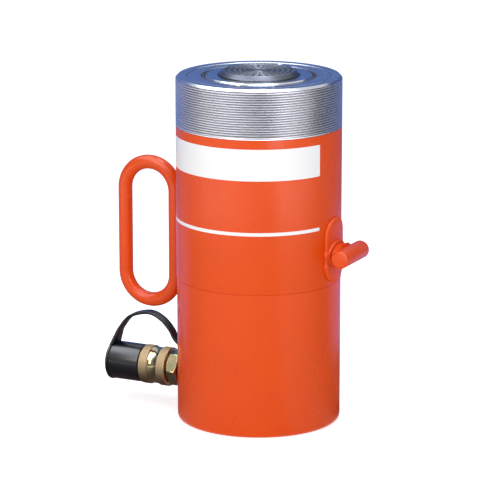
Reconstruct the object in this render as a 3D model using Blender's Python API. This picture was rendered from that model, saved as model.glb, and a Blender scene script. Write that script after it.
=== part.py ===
# Single-acting hydraulic cylinder with a spring return, modelled as separate solids.
# Units are metres. The origin is the centre of the base and +Z runs up the ram's axis.
# The carry handle and the coupler are on the -X side and the grab bar is on the +X side.

import math

import bmesh
import bpy
from mathutils import Vector

MM = 0.001
GAP = 0.3 * MM
OVERRUN = 5.0 * MM

# Chamfers on turned edges
EDGE = 1.0 * MM
FINE_EDGE = 0.5 * MM

# Bore, and the stack of pieces that sets the cylinder's height
BORE_R = 57.15 * MM
BORE_FILLET = 2.0 * MM
BASE_THICKNESS = 28.0 * MM
PISTON_HEIGHT = 44.0 * MM
STROKE = 155.6 * MM
BEARING_LENGTH = 44.8 * MM
GLAND_HEIGHT = 36.0 * MM

# Cylinder body
BODY_WALL = 15.875 * MM
STEP_DEPTH = 0.425 * MM
STEP_Z = 129.0 * MM
BASE_CHAMFER = 2.5 * MM
COLLAR_CHAMFER = 2.0 * MM

# Oil port, above the floor of the bore
PORT_RISE = 5.0 * MM
PORT_THREAD_R = 8.6 * MM
PORT_THREAD_DEPTH = 12.0 * MM
PORT_PASSAGE_R = 3.0 * MM

# Gland at the top of the bore
GLAND_SHOULDER = 5.85 * MM
WIPER_WIDTH = 2.975 * MM
WIPER_HEIGHT = 8.0 * MM
WIPER_RELIEF = 0.8 * MM
PIN_HOLE_R = 2.75 * MM
PIN_HOLE_INSET = 5.2 * MM
PIN_HOLE_DEPTH = 8.0 * MM
PIN_HOLE_ANGLE = 97

# Plunger and the packing on its piston
PISTON_LAND = 9.525 * MM
ROD_CHAMFER = 1.6 * MM
ROD_WALL = 17.625 * MM
ROD_ROOF = 39.3 * MM
SPIGOT_WALL = 13.0 * MM
RETAINER_INSET = 5.15 * MM
RETAINER_HEIGHT = 8.0 * MM
PACKING_HEIGHT = 9.0 * MM
PACKING_LIP = 4.0 * MM
BACKUP_HEIGHT = 4.0 * MM
BEARING_HEIGHT = 12.0 * MM
BEARING_WALL = 3.0 * MM

# Return spring and its anchors
SPRING_WIRE_R = 4.0 * MM
SPRING_CLEARANCE = 5.0 * MM
SPRING_TURNS = 14
SPRING_STEPS = 10
ANCHOR_FLANGE = 7.0 * MM
ANCHOR_PLUG = 20.0 * MM
SCREW_R = 5.0 * MM
SCREW_HEAD_R = 8.0 * MM
SCREW_HEAD = 8.0 * MM
SCREW_SOCKET_R = 3.4 * MM
SCREW_SOCKET = 4.0 * MM
SCREW_GRIP = 12.0 * MM

# Swivelling saddle
SADDLE_MARGIN = 12.125 * MM
SADDLE_PROUD = 4.2 * MM
SADDLE_RECESS = 6.0 * MM
SADDLE_STEM_R = 12.0 * MM
SADDLE_STEM = 17.0 * MM
SADDLE_CHAMFER = 3.6 * MM
SADDLE_GROOVE = 0.8 * MM
SADDLE_GROOVE_WIDTH = 2.8 * MM
SNAP_RING_R = 1.6 * MM
SNAP_RING_DROP = 4.0 * MM

# Pads welded on the body
PAD_WIDTH = 32.0 * MM
PAD_HEIGHT = 54.0 * MM
PAD_THICKNESS = 3.0 * MM
PAD_CORNER_R = 14.0 * MM

# Loop handle
HANDLE_ROD_R = 6.35 * MM
HANDLE_WIDTH = 63.5 * MM
HANDLE_HEIGHT = 139.7 * MM
HANDLE_CORNER_R = 25.0 * MM
HANDLE_CLEARANCE = 4.8 * MM
PAD_LIFT = 2.3 * MM

# Grab bar
BAR_R = 7.95 * MM
BAR_LENGTH = 48.0 * MM
BAR_EDGE = 0.8 * MM
BAR_STANDOFF = 4.0 * MM
BAR_DROP = 3.1 * MM
STEM_ROOT_R = 15.5 * MM
STEM_WAIST_R = 13.0 * MM
STEM_END_R = 14.0 * MM
STEM_FLATNESS = 0.72

# Coupler, along its own axis
RING_THICKNESS = 2.3 * MM
RING_WIDTH = 4.4 * MM
HEX_STEP = 1.4 * MM
HEX_LENGTH = 10.8 * MM
BARREL_STEP = 0.5 * MM
SLEEVE_WALL = 4.45 * MM
SLEEVE_LENGTH = 27.5 * MM
SLEEVE_EDGE = 0.9 * MM
SLEEVE_GROOVE = 1.15 * MM
SLEEVE_BAND = 8.8 * MM
NOSE_WALL = 3.5 * MM
NOSE_LENGTH = 25.0 * MM
NOSE_SPIGOT = 6.0 * MM
SPIGOT_BORE_R = 10.3 * MM
PASSAGE_R = 3.5 * MM
CHAMBER_R = 7.5 * MM
CHAMBER_LENGTH = 28.0 * MM
SOCKET_R = 9.0 * MM
SOCKET_DEPTH = 16.0 * MM
SOCKET_LEAD = 0.8 * MM
SEAL_INSET = 6.5 * MM
SEAL_R = 1.0 * MM
SEAL_GROOVE = 3.0 * MM
SEAT_HEIGHT = 4.0 * MM
SEAT_HOLE_R = 4.5 * MM
BALL_R = 6.0 * MM
CHECK_COIL_R = 4.6 * MM
CHECK_WIRE_R = 0.7 * MM
CHECK_TURNS = 5
CHECK_STEPS = 8

# Dust cap and its strap
CAP_CLEARANCE = 0.4 * MM
CAP_WALL = 4.3 * MM
CAP_LENGTH = 32.7 * MM
CAP_RIM = 0.7 * MM
CAP_DISC = 2.3 * MM
STRAP_WIDTH = 9.0 * MM
STRAP_FLARE = 10.0 * MM
STRAP_THICKNESS = 2.8 * MM
STRAP_RISE = 48.8 * MM
STRAP_STEPS = 3

# Facets round a full turn
FINE_STEPS = 48
MEDIUM_STEPS = 40
INNER_STEPS = 32
COARSE_STEPS = 24
SMALL_STEPS = 16

# Radii that follow from the bore
BODY_R = BORE_R + BODY_WALL
LOWER_R = BODY_R - STEP_DEPTH
GLAND_R = BORE_R + GLAND_SHOULDER
ROD_R = BORE_R - PISTON_LAND
ROD_CAVITY_R = ROD_R - ROD_WALL
SPIGOT_R = ROD_CAVITY_R + SPIGOT_WALL
RETAINER_R = BORE_R - RETAINER_INSET
WIPER_POCKET_R = ROD_R + WIPER_WIDTH
PIN_HOLE_CIRCLE_R = WIPER_POCKET_R + PIN_HOLE_INSET
SADDLE_R = ROD_R - SADDLE_MARGIN
SPRING_R = ROD_CAVITY_R - SPRING_CLEARANCE - SPRING_WIRE_R
ANCHOR_FLANGE_R = SPRING_R + SPRING_WIRE_R + EDGE
PAD_R = BODY_R + GAP + PAD_THICKNESS

# Heights that follow from the stack
PISTON_Z = BASE_THICKNESS + GAP
PISTON_TOP = PISTON_Z + PISTON_HEIGHT
BEARING_Z = PISTON_TOP + STROKE + GAP
GLAND_Z = BEARING_Z + BEARING_LENGTH
BODY_HEIGHT = GLAND_Z + GLAND_HEIGHT
ROD_TOP = BODY_HEIGHT + GAP
ROD_CAVITY_TOP = ROD_TOP - ROD_ROOF
PORT_Z = BASE_THICKNESS + PORT_RISE
HANDLE_Z = PORT_Z + STRAP_RISE + STRAP_THICKNESS / 2 + HANDLE_CLEARANCE + HANDLE_HEIGHT / 2
PAD_Z = HANDLE_Z + PAD_LIFT
BAR_Z = PAD_Z - BAR_DROP

# The coupler's radii, and its distances from the ram's axis
NOSE_R = SOCKET_R + NOSE_WALL
BARREL_R = NOSE_R + BARREL_STEP
HEX_ACROSS_FLATS = 2 * (BARREL_R + HEX_STEP)
SLEEVE_R = BARREL_R + GAP + SLEEVE_WALL
RING_R = PORT_THREAD_R + RING_WIDTH
CAP_BORE_R = NOSE_R + CAP_CLEARANCE
CAP_R = CAP_BORE_R + CAP_WALL
CAP_DISC_R = CAP_R + CAP_RIM
RING_U = LOWER_R + 2 * GAP
HEX_U = RING_U + RING_THICKNESS + 2 * GAP
SLEEVE_U = HEX_U + HEX_LENGTH + GAP
NOSE_U = SLEEVE_U + SLEEVE_LENGTH
NOSE_END = NOSE_U + NOSE_LENGTH
CAP_U = NOSE_U + GAP
CAP_END = CAP_U + CAP_LENGTH
SOCKET_U = NOSE_END - SOCKET_DEPTH
CHAMBER_U = SOCKET_U - CHAMBER_LENGTH
SEAL_U = NOSE_END - SEAL_INSET
BALL_U = SOCKET_U - math.sqrt(BALL_R ** 2 - SEAT_HOLE_R ** 2)

ORANGE = (0.80, 0.115, 0.022)
STEEL = (0.46, 0.49, 0.53)
DARK_STEEL = (0.16, 0.17, 0.19)
ZINC = (0.60, 0.51, 0.36)
BRONZE = (0.55, 0.38, 0.16)
BLACK = (0.018, 0.018, 0.022)
SEAL = (0.05, 0.05, 0.055)


def clearScene():
    for item in list(bpy.data.objects):
        bpy.data.objects.remove(item)


def makeMaterial(name, colour, roughness, metallic):
    material = bpy.data.materials.new(name)
    material.use_nodes = True
    shader = material.node_tree.nodes["Principled BSDF"]
    shader.inputs["Base Color"].default_value = (*colour, 1.0)
    shader.inputs["Roughness"].default_value = roughness
    shader.inputs["Metallic"].default_value = metallic
    return material


def makeObject(name, bm, look, parent=None, smooth=30.0):
    bmesh.ops.recalc_face_normals(bm, faces=bm.faces)
    mesh = bpy.data.meshes.new(name)
    bm.to_mesh(mesh)
    bm.free()
    mesh.shade_smooth()
    mesh.set_sharp_from_angle(angle=math.radians(smooth))
    item = bpy.data.objects.new(name, mesh)
    bpy.context.scene.collection.objects.link(item)
    if look is not None:
        mesh.materials.append(makeMaterial(name, *look))
    item.parent = parent
    return item


def makeEmpty(name, location, rotation=(0.0, 0.0, 0.0)):
    empty = bpy.data.objects.new(name, None)
    bpy.context.scene.collection.objects.link(empty)
    empty.location = location
    empty.rotation_euler = rotation
    return empty


# A closed profile of (radius, height) points is spun about the local Z axis.
def turned(profile, steps):
    bm = bmesh.new()
    points = [bm.verts.new((radius, 0.0, height)) for radius, height in profile]
    edges = [bm.edges.new((points[i], points[i - 1])) for i in range(len(points))]
    bmesh.ops.spin(
        bm, geom=points + edges, cent=(0, 0, 0), axis=(0, 0, 1), angle=2 * math.pi, steps=steps
    )
    bmesh.ops.remove_doubles(bm, verts=bm.verts, dist=1e-6)
    bmesh.ops.dissolve_degenerate(bm, edges=bm.edges, dist=1e-6)
    return bm


# A tube of round section follows a list of points. It is closed on itself or has flat ends.
def swept(points, radius, sides, closed=False):
    bm = bmesh.new()
    count = len(points)
    rings = []
    side = None
    for i, point in enumerate(points):
        before = points[i - 1] if closed or i else point
        after = points[(i + 1) % count] if closed or i < count - 1 else point
        along = (after - before).normalized()
        if side is None:
            side = along.orthogonal().normalized()
        side = (side - along * side.dot(along)).normalized()
        up = along.cross(side)
        ring = []
        for k in range(sides):
            turn = 2 * math.pi * k / sides
            ring.append(bm.verts.new(point + radius * (math.cos(turn) * side + math.sin(turn) * up)))
        rings.append(ring)
    last = count if closed else count - 1
    for i in range(last):
        near = rings[i]
        far = rings[(i + 1) % count]
        for k in range(sides):
            bm.faces.new((near[k - 1], near[k], far[k], far[k - 1]))
    if not closed:
        bm.faces.new(rings[0])
        bm.faces.new(rings[-1])
    return bm


def coil(radius, low, high, turns, perTurn):
    points = []
    count = turns * perTurn
    for i in range(count + 1):
        angle = 2 * math.pi * i / perTurn
        height = low + (high - low) * i / count
        points.append(Vector((radius * math.cos(angle), radius * math.sin(angle), height)))
    return points


def arc(centre, radius, start, end, steps):
    points = []
    for i in range(steps + 1):
        turn = math.radians(start + (end - start) * i / steps)
        points.append((centre[0] + radius * math.cos(turn), centre[1] + radius * math.sin(turn)))
    return points


def cutter(name, bm, parent=None):
    item = makeObject(name, bm, None, parent)
    item.hide_render = True
    item.display_type = "WIRE"
    return item


def combine(target, tool, operation="DIFFERENCE"):
    modifier = target.modifiers.new(tool.name, "BOOLEAN")
    modifier.operation = operation
    modifier.object = tool


def rectangle(inner, outer, low, high):
    return [(inner, low), (outer, low), (outer, high), (inner, high)]


def bevelled(inner, outer, low, high, edge):
    return [
        (inner, low), (outer - edge, low), (outer, low + edge),
        (outer, high - edge), (outer - edge, high), (inner, high),
    ]


def makeBody(coupler):
    profile = [(0.0, 0.0), (LOWER_R - BASE_CHAMFER, 0.0)]
    profile += arc((LOWER_R - BASE_CHAMFER, BASE_CHAMFER), BASE_CHAMFER, -60, 0, 3)
    profile += [
        (LOWER_R, STEP_Z),
        (BODY_R, STEP_Z + STEP_DEPTH),
        (BODY_R, BODY_HEIGHT - COLLAR_CHAMFER),
        (BODY_R - COLLAR_CHAMFER, BODY_HEIGHT),
        (GLAND_R, BODY_HEIGHT),
        (GLAND_R, GLAND_Z),
        (BORE_R, GLAND_Z),
        (BORE_R, BASE_THICKNESS + BORE_FILLET),
        (BORE_R - BORE_FILLET, BASE_THICKNESS),
        (0.0, BASE_THICKNESS),
    ]
    body = makeObject("cylinder_body", turned(profile, FINE_STEPS), (ORANGE, 0.34, 0.0))
    tap = BASE_THICKNESS - SCREW_GRIP - GAP
    combine(body, cutter("base_tap", turned(
        rectangle(0.0, SCREW_R + GAP, tap, BASE_THICKNESS + OVERRUN), SMALL_STEPS)))
    depth = LOWER_R - PORT_THREAD_DEPTH
    port = [
        (0.0, BORE_R - OVERRUN), (PORT_PASSAGE_R, BORE_R - OVERRUN), (PORT_PASSAGE_R, depth),
        (PORT_THREAD_R, depth), (PORT_THREAD_R, LOWER_R + OVERRUN), (0.0, LOWER_R + OVERRUN),
    ]
    combine(body, cutter("port_cutter", turned(port, COARSE_STEPS), coupler))


def makeGland():
    top = BODY_HEIGHT - GAP
    low = GLAND_Z + GAP
    inner = ROD_R + GAP
    profile = [
        (inner, low), (GLAND_R - GAP - EDGE, low), (GLAND_R - GAP, low + EDGE),
        (GLAND_R - GAP, top - EDGE), (GLAND_R - GAP - EDGE, top), (WIPER_POCKET_R, top),
        (WIPER_POCKET_R, top - WIPER_HEIGHT), (inner, top - WIPER_HEIGHT),
    ]
    nut = makeObject("gland_nut", turned(profile, MEDIUM_STEPS), (STEEL, 0.35, 1.0))
    for number, degrees in enumerate((PIN_HOLE_ANGLE, PIN_HOLE_ANGLE + 180)):
        angle = math.radians(degrees)
        hole = cutter("pin_hole_%d" % number, turned(
            rectangle(0.0, PIN_HOLE_R, top - PIN_HOLE_DEPTH, top + OVERRUN), SMALL_STEPS))
        hole.location = (PIN_HOLE_CIRCLE_R * math.cos(angle), PIN_HOLE_CIRCLE_R * math.sin(angle), 0)
        combine(nut, hole)

    wiperLow = top - WIPER_HEIGHT + GAP
    lip = ROD_R + GAP
    outer = WIPER_POCKET_R - GAP
    wiper = [
        (lip + WIPER_RELIEF, wiperLow), (outer, wiperLow), (outer, top - FINE_EDGE),
        (outer - FINE_EDGE, top), (lip, top), (lip, top - 2 * WIPER_RELIEF),
        (lip + WIPER_RELIEF, top - 4 * WIPER_RELIEF),
    ]
    makeObject("rod_wiper", turned(wiper, INNER_STEPS), (SEAL, 0.6, 0.0))

    sleeve = [
        (inner, BEARING_Z), (BORE_R - GAP - EDGE, BEARING_Z), (BORE_R - GAP, BEARING_Z + EDGE),
        (BORE_R - GAP, GLAND_Z), (inner, GLAND_Z),
    ]
    makeObject("rod_bearing", turned(sleeve, INNER_STEPS), (BRONZE, 0.4, 1.0))


def makeRam(ram):
    packingLow = PISTON_Z + RETAINER_HEIGHT + 2 * GAP
    backupLow = packingLow + PACKING_HEIGHT + GAP
    headLow = backupLow + BACKUP_HEIGHT + GAP
    headR = BORE_R - 2 * GAP
    grooveLow = (headLow + PISTON_TOP - BEARING_HEIGHT) / 2
    grooveHigh = grooveLow + BEARING_HEIGHT
    recess = ROD_TOP - SADDLE_RECESS
    stemHole = recess - SADDLE_STEM - 2 * GAP
    profile = [
        (ROD_CAVITY_R, PISTON_Z), (SPIGOT_R - EDGE, PISTON_Z), (SPIGOT_R, PISTON_Z + EDGE),
        (SPIGOT_R, headLow), (headR, headLow), (headR, grooveLow),
        (headR - BEARING_WALL, grooveLow), (headR - BEARING_WALL, grooveHigh),
        (headR, grooveHigh), (headR, PISTON_TOP - EDGE), (headR - EDGE, PISTON_TOP),
        (ROD_R, PISTON_TOP), (ROD_R, ROD_TOP - ROD_CHAMFER), (ROD_R - ROD_CHAMFER, ROD_TOP),
        (SADDLE_R + 2 * GAP, ROD_TOP), (SADDLE_R + 2 * GAP, recess),
        (SADDLE_STEM_R + 2 * SNAP_RING_R, recess),
        (SADDLE_STEM_R + GAP, recess - SNAP_RING_R), (SADDLE_STEM_R + GAP, stemHole),
        (0.0, stemHole), (0.0, ROD_CAVITY_TOP), (ROD_CAVITY_R, ROD_CAVITY_TOP),
    ]
    rod = makeObject("piston_rod", turned(profile, MEDIUM_STEPS), (STEEL, 0.22, 1.0), ram)
    # The upper spring anchor screws into the roof of the cavity.
    hole = rectangle(0.0, SCREW_R + GAP, ROD_CAVITY_TOP - OVERRUN, ROD_CAVITY_TOP + SCREW_GRIP)
    tap = turned(hole, SMALL_STEPS)
    combine(rod, cutter("roof_tap", tap, ram))

    ringInner = SPIGOT_R + GAP
    retainer = bevelled(ringInner, RETAINER_R, PISTON_Z, PISTON_Z + RETAINER_HEIGHT, EDGE)
    makeObject("packing_retainer", turned(retainer, INNER_STEPS), (DARK_STEEL, 0.4, 1.0), ram)

    outer = BORE_R - GAP
    high = packingLow + PACKING_HEIGHT
    middle = (ringInner + outer) / 2
    packing = [
        (ringInner, packingLow + EDGE), (ringInner + EDGE, packingLow),
        (middle - EDGE, packingLow + PACKING_LIP), (middle + EDGE, packingLow + PACKING_LIP),
        (outer - EDGE, packingLow), (outer, packingLow + EDGE),
        (outer - FINE_EDGE, high), (ringInner, high),
    ]
    makeObject("piston_packing", turned(packing, INNER_STEPS), (SEAL, 0.6, 0.0), ram)

    backup = rectangle(ringInner, outer - GAP, backupLow, backupLow + BACKUP_HEIGHT - GAP)
    makeObject("packing_backup_ring", turned(backup, INNER_STEPS), (BRONZE, 0.5, 0.0), ram)

    bearing = rectangle(headR - BEARING_WALL + GAP, outer, grooveLow + GAP, grooveHigh - GAP)
    makeObject("piston_bearing", turned(bearing, INNER_STEPS), (BRONZE, 0.45, 1.0), ram)


# Each anchor is a flange with a plug that fills the spring's end coils.
def makeAnchor(name, base, direction, parent):
    plugR = SPRING_R * math.cos(math.pi / SPRING_STEPS) - SPRING_WIRE_R - GAP
    end = base + direction * (ANCHOR_FLANGE + ANCHOR_PLUG)
    flange = base + direction * ANCHOR_FLANGE
    profile = [
        (SCREW_R + GAP, base), (ANCHOR_FLANGE_R, base), (ANCHOR_FLANGE_R, flange),
        (plugR, flange), (plugR, end), (SCREW_R + GAP, end),
    ]
    makeObject(name, turned(profile, COARSE_STEPS), (DARK_STEEL, 0.45, 1.0), parent)
    headLow = end + direction * GAP
    headHigh = headLow + direction * SCREW_HEAD
    socket = headHigh - direction * SCREW_SOCKET
    tip = base - direction * (SCREW_GRIP - GAP)
    screw = [
        (0.0, tip), (SCREW_R, tip), (SCREW_R, headLow), (SCREW_HEAD_R, headLow),
        (SCREW_HEAD_R, headHigh), (SCREW_SOCKET_R, headHigh), (SCREW_SOCKET_R, socket), (0.0, socket),
    ]
    makeObject(name + "_screw", turned(screw, SMALL_STEPS), (DARK_STEEL, 0.35, 1.0), parent)
    return flange + direction * (SPRING_WIRE_R + GAP)


def makeSpring(ram):
    low = makeAnchor("spring_anchor_lower", BASE_THICKNESS + GAP, 1, None)
    high = makeAnchor("spring_anchor_upper", ROD_CAVITY_TOP - GAP, -1, ram)
    bm = swept(coil(SPRING_R, low, high, SPRING_TURNS, SPRING_STEPS), SPRING_WIRE_R, 5)
    makeObject("return_spring", bm, (DARK_STEEL, 0.35, 1.0), ram, 75.0)


def makeSaddle(saddle):
    top = ROD_TOP + SADDLE_PROUD
    low = ROD_TOP - SADDLE_RECESS + GAP
    ringZ = low - SNAP_RING_DROP
    half = SADDLE_GROOVE_WIDTH / 2
    grooveR = SADDLE_STEM_R - 2 * SNAP_RING_R + GAP
    profile = [
        (0.0, low - SADDLE_STEM), (SADDLE_STEM_R - EDGE, low - SADDLE_STEM),
        (SADDLE_STEM_R, low - SADDLE_STEM + EDGE),
        (SADDLE_STEM_R, ringZ - SNAP_RING_R - GAP),
        (grooveR, ringZ - SNAP_RING_R - GAP),
        (grooveR, ringZ + SNAP_RING_R + GAP),
        (SADDLE_STEM_R, ringZ + SNAP_RING_R + GAP),
        (SADDLE_STEM_R, low), (SADDLE_R, low), (SADDLE_R, top - SADDLE_CHAMFER),
        (SADDLE_R - SADDLE_CHAMFER, top),
    ]
    for share in (0.70, 0.38):
        radius = SADDLE_R * share
        profile += [
            (radius + half, top), (radius + half / 2, top - SADDLE_GROOVE),
            (radius - half / 2, top - SADDLE_GROOVE), (radius - half, top),
        ]
    profile.append((0.0, top))
    makeObject("saddle", turned(profile, MEDIUM_STEPS), (STEEL, 0.4, 1.0), saddle)

    ringR = SADDLE_STEM_R - SNAP_RING_R + GAP
    section = arc((ringR, ringZ), SNAP_RING_R - GAP, 0, 300, 5)
    makeObject("saddle_retaining_ring", turned(section, COARSE_STEPS), (SEAL, 0.6, 0.0), saddle)


# A pad is a curved plate with rounded corners, built from cross-sections round the body.
def makePad(name, facing):
    bm = bmesh.new()
    half = PAD_WIDTH / 2
    flat = half - PAD_CORNER_R
    offsets = [half - PAD_CORNER_R * (1 - math.cos(math.radians(a))) for a in (0, 18, 36, 54, 72, 90)]
    offsets = offsets + [-offset for offset in reversed(offsets)]
    rings = []
    for offset in offsets:
        past = max(0.0, abs(offset) - flat)
        reach = PAD_HEIGHT / 2 - PAD_CORNER_R + math.sqrt(max(0.0, PAD_CORNER_R ** 2 - past ** 2))
        angle = offset / PAD_R
        ring = []
        for radius, z in (
            (PAD_R - PAD_THICKNESS, PAD_Z - reach), (PAD_R - PAD_THICKNESS, PAD_Z + reach),
            (PAD_R, PAD_Z + reach), (PAD_R, PAD_Z - reach),
        ):
            ring.append(bm.verts.new((facing * radius * math.cos(angle), radius * math.sin(angle), z)))
        rings.append(ring)
    for near, far in zip(rings, rings[1:]):
        for k in range(4):
            bm.faces.new((near[k - 1], near[k], far[k], far[k - 1]))
    bm.faces.new(rings[0])
    bm.faces.new(rings[-1])
    makeObject(name, bm, (ORANGE, 0.36, 0.0))


def makeCarryHandle():
    makePad("handle_pad", -1)
    corner = HANDLE_CORNER_R
    inner = -(PAD_R + GAP + HANDLE_ROD_R)
    outer = inner - (HANDLE_WIDTH - 2 * HANDLE_ROD_R)
    low = HANDLE_Z - HANDLE_HEIGHT / 2 + HANDLE_ROD_R
    high = HANDLE_Z + HANDLE_HEIGHT / 2 - HANDLE_ROD_R
    outline = arc((inner - corner, low + corner), corner, -90, 0, 5)
    outline += arc((inner - corner, high - corner), corner, 0, 90, 5)
    outline += arc((outer + corner, high - corner), corner, 90, 180, 5)
    outline += arc((outer + corner, low + corner), corner, 180, 270, 5)
    points = [Vector((x, 0.0, z)) for x, z in outline]
    makeObject("carry_handle", swept(points, HANDLE_ROD_R, 12, True), (ORANGE, 0.36, 0.0), None, 50.0)


def makeGrabBar():
    makePad("bar_pad", 1)
    barX = PAD_R + GAP + BAR_STANDOFF + BAR_R
    spot = makeEmpty("grab_bar_axis", (barX, 0.0, BAR_Z), (math.radians(90), 0.0, 0.0))
    half = BAR_LENGTH / 2
    edge = BAR_EDGE
    profile = [
        (0.0, -half), (BAR_R - edge, -half), (BAR_R, -half + edge),
        (BAR_R, half - edge), (BAR_R - edge, half), (0.0, half),
    ]
    makeObject("grab_bar", turned(profile, COARSE_STEPS), (ORANGE, 0.36, 0.0), spot)
    clearance = cutter("bar_clearance", turned(rectangle(0.0, BAR_R + GAP, -half, half), COARSE_STEPS), spot)

    root = makeEmpty("bar_stem_axis", (PAD_R, 0.0, BAR_Z), (0.0, math.radians(90), 0.0))
    end = GAP + BAR_STANDOFF + 0.45 * BAR_R
    stemProfile = [
        (0.0, -PAD_THICKNESS), (STEM_ROOT_R, -PAD_THICKNESS), (STEM_ROOT_R, GAP),
        (STEM_WAIST_R, 0.6 * BAR_STANDOFF), (STEM_WAIST_R, BAR_STANDOFF),
        (STEM_END_R, end), (0.0, end),
    ]
    bm = turned(stemProfile, COARSE_STEPS)
    bmesh.ops.scale(bm, vec=(STEM_FLATNESS, 1.0, 1.0), verts=bm.verts)
    stem = makeObject("bar_stem", bm, (ORANGE, 0.36, 0.0), root)
    combine(stem, clearance)
    combine(stem, cutter("pad_clearance", turned(
        rectangle(0.0, PAD_R + GAP, PAD_Z - PAD_HEIGHT, PAD_Z + PAD_HEIGHT), 2 * FINE_STEPS)))


# The coupler's pieces are turned about the port's axis, whose local +Z points out along -X.
def makeCouplerBody(coupler):
    threadEnd = LOWER_R - PORT_THREAD_DEPTH + GAP
    threadR = PORT_THREAD_R - GAP
    outline = [
        (PASSAGE_R, threadEnd), (threadR, threadEnd), (threadR, HEX_U + EDGE),
        (BARREL_R, HEX_U + EDGE), (BARREL_R, NOSE_U - FINE_EDGE), (BARREL_R - FINE_EDGE, NOSE_U),
        (SPIGOT_BORE_R, NOSE_U), (SPIGOT_BORE_R, NOSE_U - NOSE_SPIGOT),
        (CHAMBER_R, NOSE_U - NOSE_SPIGOT), (CHAMBER_R, CHAMBER_U), (PASSAGE_R, CHAMBER_U),
    ]
    body = makeObject("coupler_body", turned(outline, COARSE_STEPS), (ZINC, 0.35, 1.0), coupler)
    hexR = HEX_ACROSS_FLATS / math.sqrt(3)
    bm = bmesh.new()
    bmesh.ops.create_cone(bm, cap_ends=True, segments=6, radius1=hexR, radius2=hexR, depth=HEX_LENGTH)
    bmesh.ops.translate(bm, verts=bm.verts, vec=(0, 0, HEX_U + HEX_LENGTH / 2))
    prism = cutter("hex_prism", bm, coupler)
    chamfer = 0.14 * HEX_ACROSS_FLATS / 2
    flat = HEX_ACROSS_FLATS / 2
    disc = cutter("hex_chamfer", turned([
        (0.0, HEX_U), (flat, HEX_U), (hexR, HEX_U + 0.45 * chamfer),
        (hexR + OVERRUN, HEX_U + chamfer), (hexR + OVERRUN, HEX_U + HEX_LENGTH - chamfer),
        (hexR, HEX_U + HEX_LENGTH - 0.45 * chamfer), (flat, HEX_U + HEX_LENGTH), (0.0, HEX_U + HEX_LENGTH),
    ], COARSE_STEPS), coupler)
    combine(prism, disc, "INTERSECT")
    combine(body, prism, "UNION")
    bore = cutter("hex_bore", turned(
        rectangle(0.0, PASSAGE_R, threadEnd - OVERRUN, CHAMBER_U + EDGE), COARSE_STEPS), coupler)
    combine(body, bore)


# The nose is a socket for the mating half. It screws into the body and traps the check ball.
def makeNose(coupler):
    low = NOSE_U + GAP
    grooveR = SOCKET_R + 2 * SEAL_R - GAP
    outline = [
        (CHAMBER_R, low - NOSE_SPIGOT), (SPIGOT_BORE_R - GAP, low - NOSE_SPIGOT),
        (SPIGOT_BORE_R - GAP, low), (NOSE_R, low),
        (NOSE_R, NOSE_END - EDGE), (NOSE_R - EDGE, NOSE_END),
        (SOCKET_R + SOCKET_LEAD, NOSE_END), (SOCKET_R, NOSE_END - 1.5 * SOCKET_LEAD),
        (SOCKET_R, SEAL_U + SEAL_GROOVE / 2), (grooveR, SEAL_U + SEAL_GROOVE / 2),
        (grooveR, SEAL_U - SEAL_GROOVE / 2), (SOCKET_R, SEAL_U - SEAL_GROOVE / 2),
        (SOCKET_R, SOCKET_U), (CHAMBER_R, SOCKET_U),
    ]
    makeObject("coupler_nose", turned(outline, COARSE_STEPS), (ZINC, 0.35, 1.0), coupler)
    section = arc((SOCKET_R + GAP, SEAL_U), SEAL_R, 0, 300, 5)
    makeObject("socket_seal", turned(section, COARSE_STEPS), (SEAL, 0.6, 0.0), coupler)


def makeSleeve(coupler):
    inner = BARREL_R + GAP
    high = SLEEVE_U + SLEEVE_LENGTH - GAP
    edge = SLEEVE_EDGE
    sleeve = [
        (inner, SLEEVE_U), (SLEEVE_R - edge, SLEEVE_U), (SLEEVE_R, SLEEVE_U + edge),
        (SLEEVE_R, SLEEVE_U + SLEEVE_BAND - edge), (SLEEVE_R - SLEEVE_GROOVE, SLEEVE_U + SLEEVE_BAND),
        (SLEEVE_R - SLEEVE_GROOVE, high - SLEEVE_BAND), (SLEEVE_R, high - SLEEVE_BAND + edge),
        (SLEEVE_R, high - edge), (SLEEVE_R - edge, high), (inner, high),
    ]
    makeObject("coupler_sleeve", turned(sleeve, INNER_STEPS), (ZINC, 0.35, 1.0), coupler)


# A ball on a light spring shuts the coupler when the mating half is off.
def makeCheckValve(coupler):
    seatLow = SOCKET_U + GAP
    seat = [
        (SEAT_HOLE_R, seatLow), (SOCKET_R - GAP, seatLow),
        (SOCKET_R - GAP, seatLow + SEAT_HEIGHT), (SEAT_HOLE_R, seatLow + SEAT_HEIGHT),
    ]
    makeObject("check_seat", turned(seat, COARSE_STEPS), (STEEL, 0.3, 1.0), coupler)

    bm = bmesh.new()
    bmesh.ops.create_uvsphere(bm, u_segments=12, v_segments=8, radius=BALL_R)
    ball = makeObject("check_ball", bm, (STEEL, 0.15, 1.0), coupler, 80.0)
    ball.location = (0.0, 0.0, BALL_U)
    springLow = CHAMBER_U + CHECK_WIRE_R + GAP
    springHigh = BALL_U - math.sqrt(BALL_R ** 2 - CHECK_COIL_R ** 2) - 2 * CHECK_WIRE_R - GAP
    bm = swept(coil(CHECK_COIL_R, springLow, springHigh, CHECK_TURNS, CHECK_STEPS), CHECK_WIRE_R, 4)
    makeObject("check_spring", bm, (STEEL, 0.3, 1.0), coupler, 80.0)


def makeDustCap(coupler):
    disc = CAP_END - CAP_DISC
    roof = NOSE_END + 2 * GAP
    edge = FINE_EDGE
    profile = [
        (0.0, roof), (CAP_BORE_R, roof), (CAP_BORE_R, CAP_U), (CAP_R - edge, CAP_U),
        (CAP_R, CAP_U + edge), (CAP_R, disc), (CAP_DISC_R, disc + CAP_RIM / 2),
        (CAP_DISC_R, CAP_END - edge), (CAP_DISC_R - edge, CAP_END), (0.0, CAP_END),
    ]
    makeObject("dust_cap", turned(profile, COARSE_STEPS), (BLACK, 0.42, 0.0), coupler)


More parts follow.
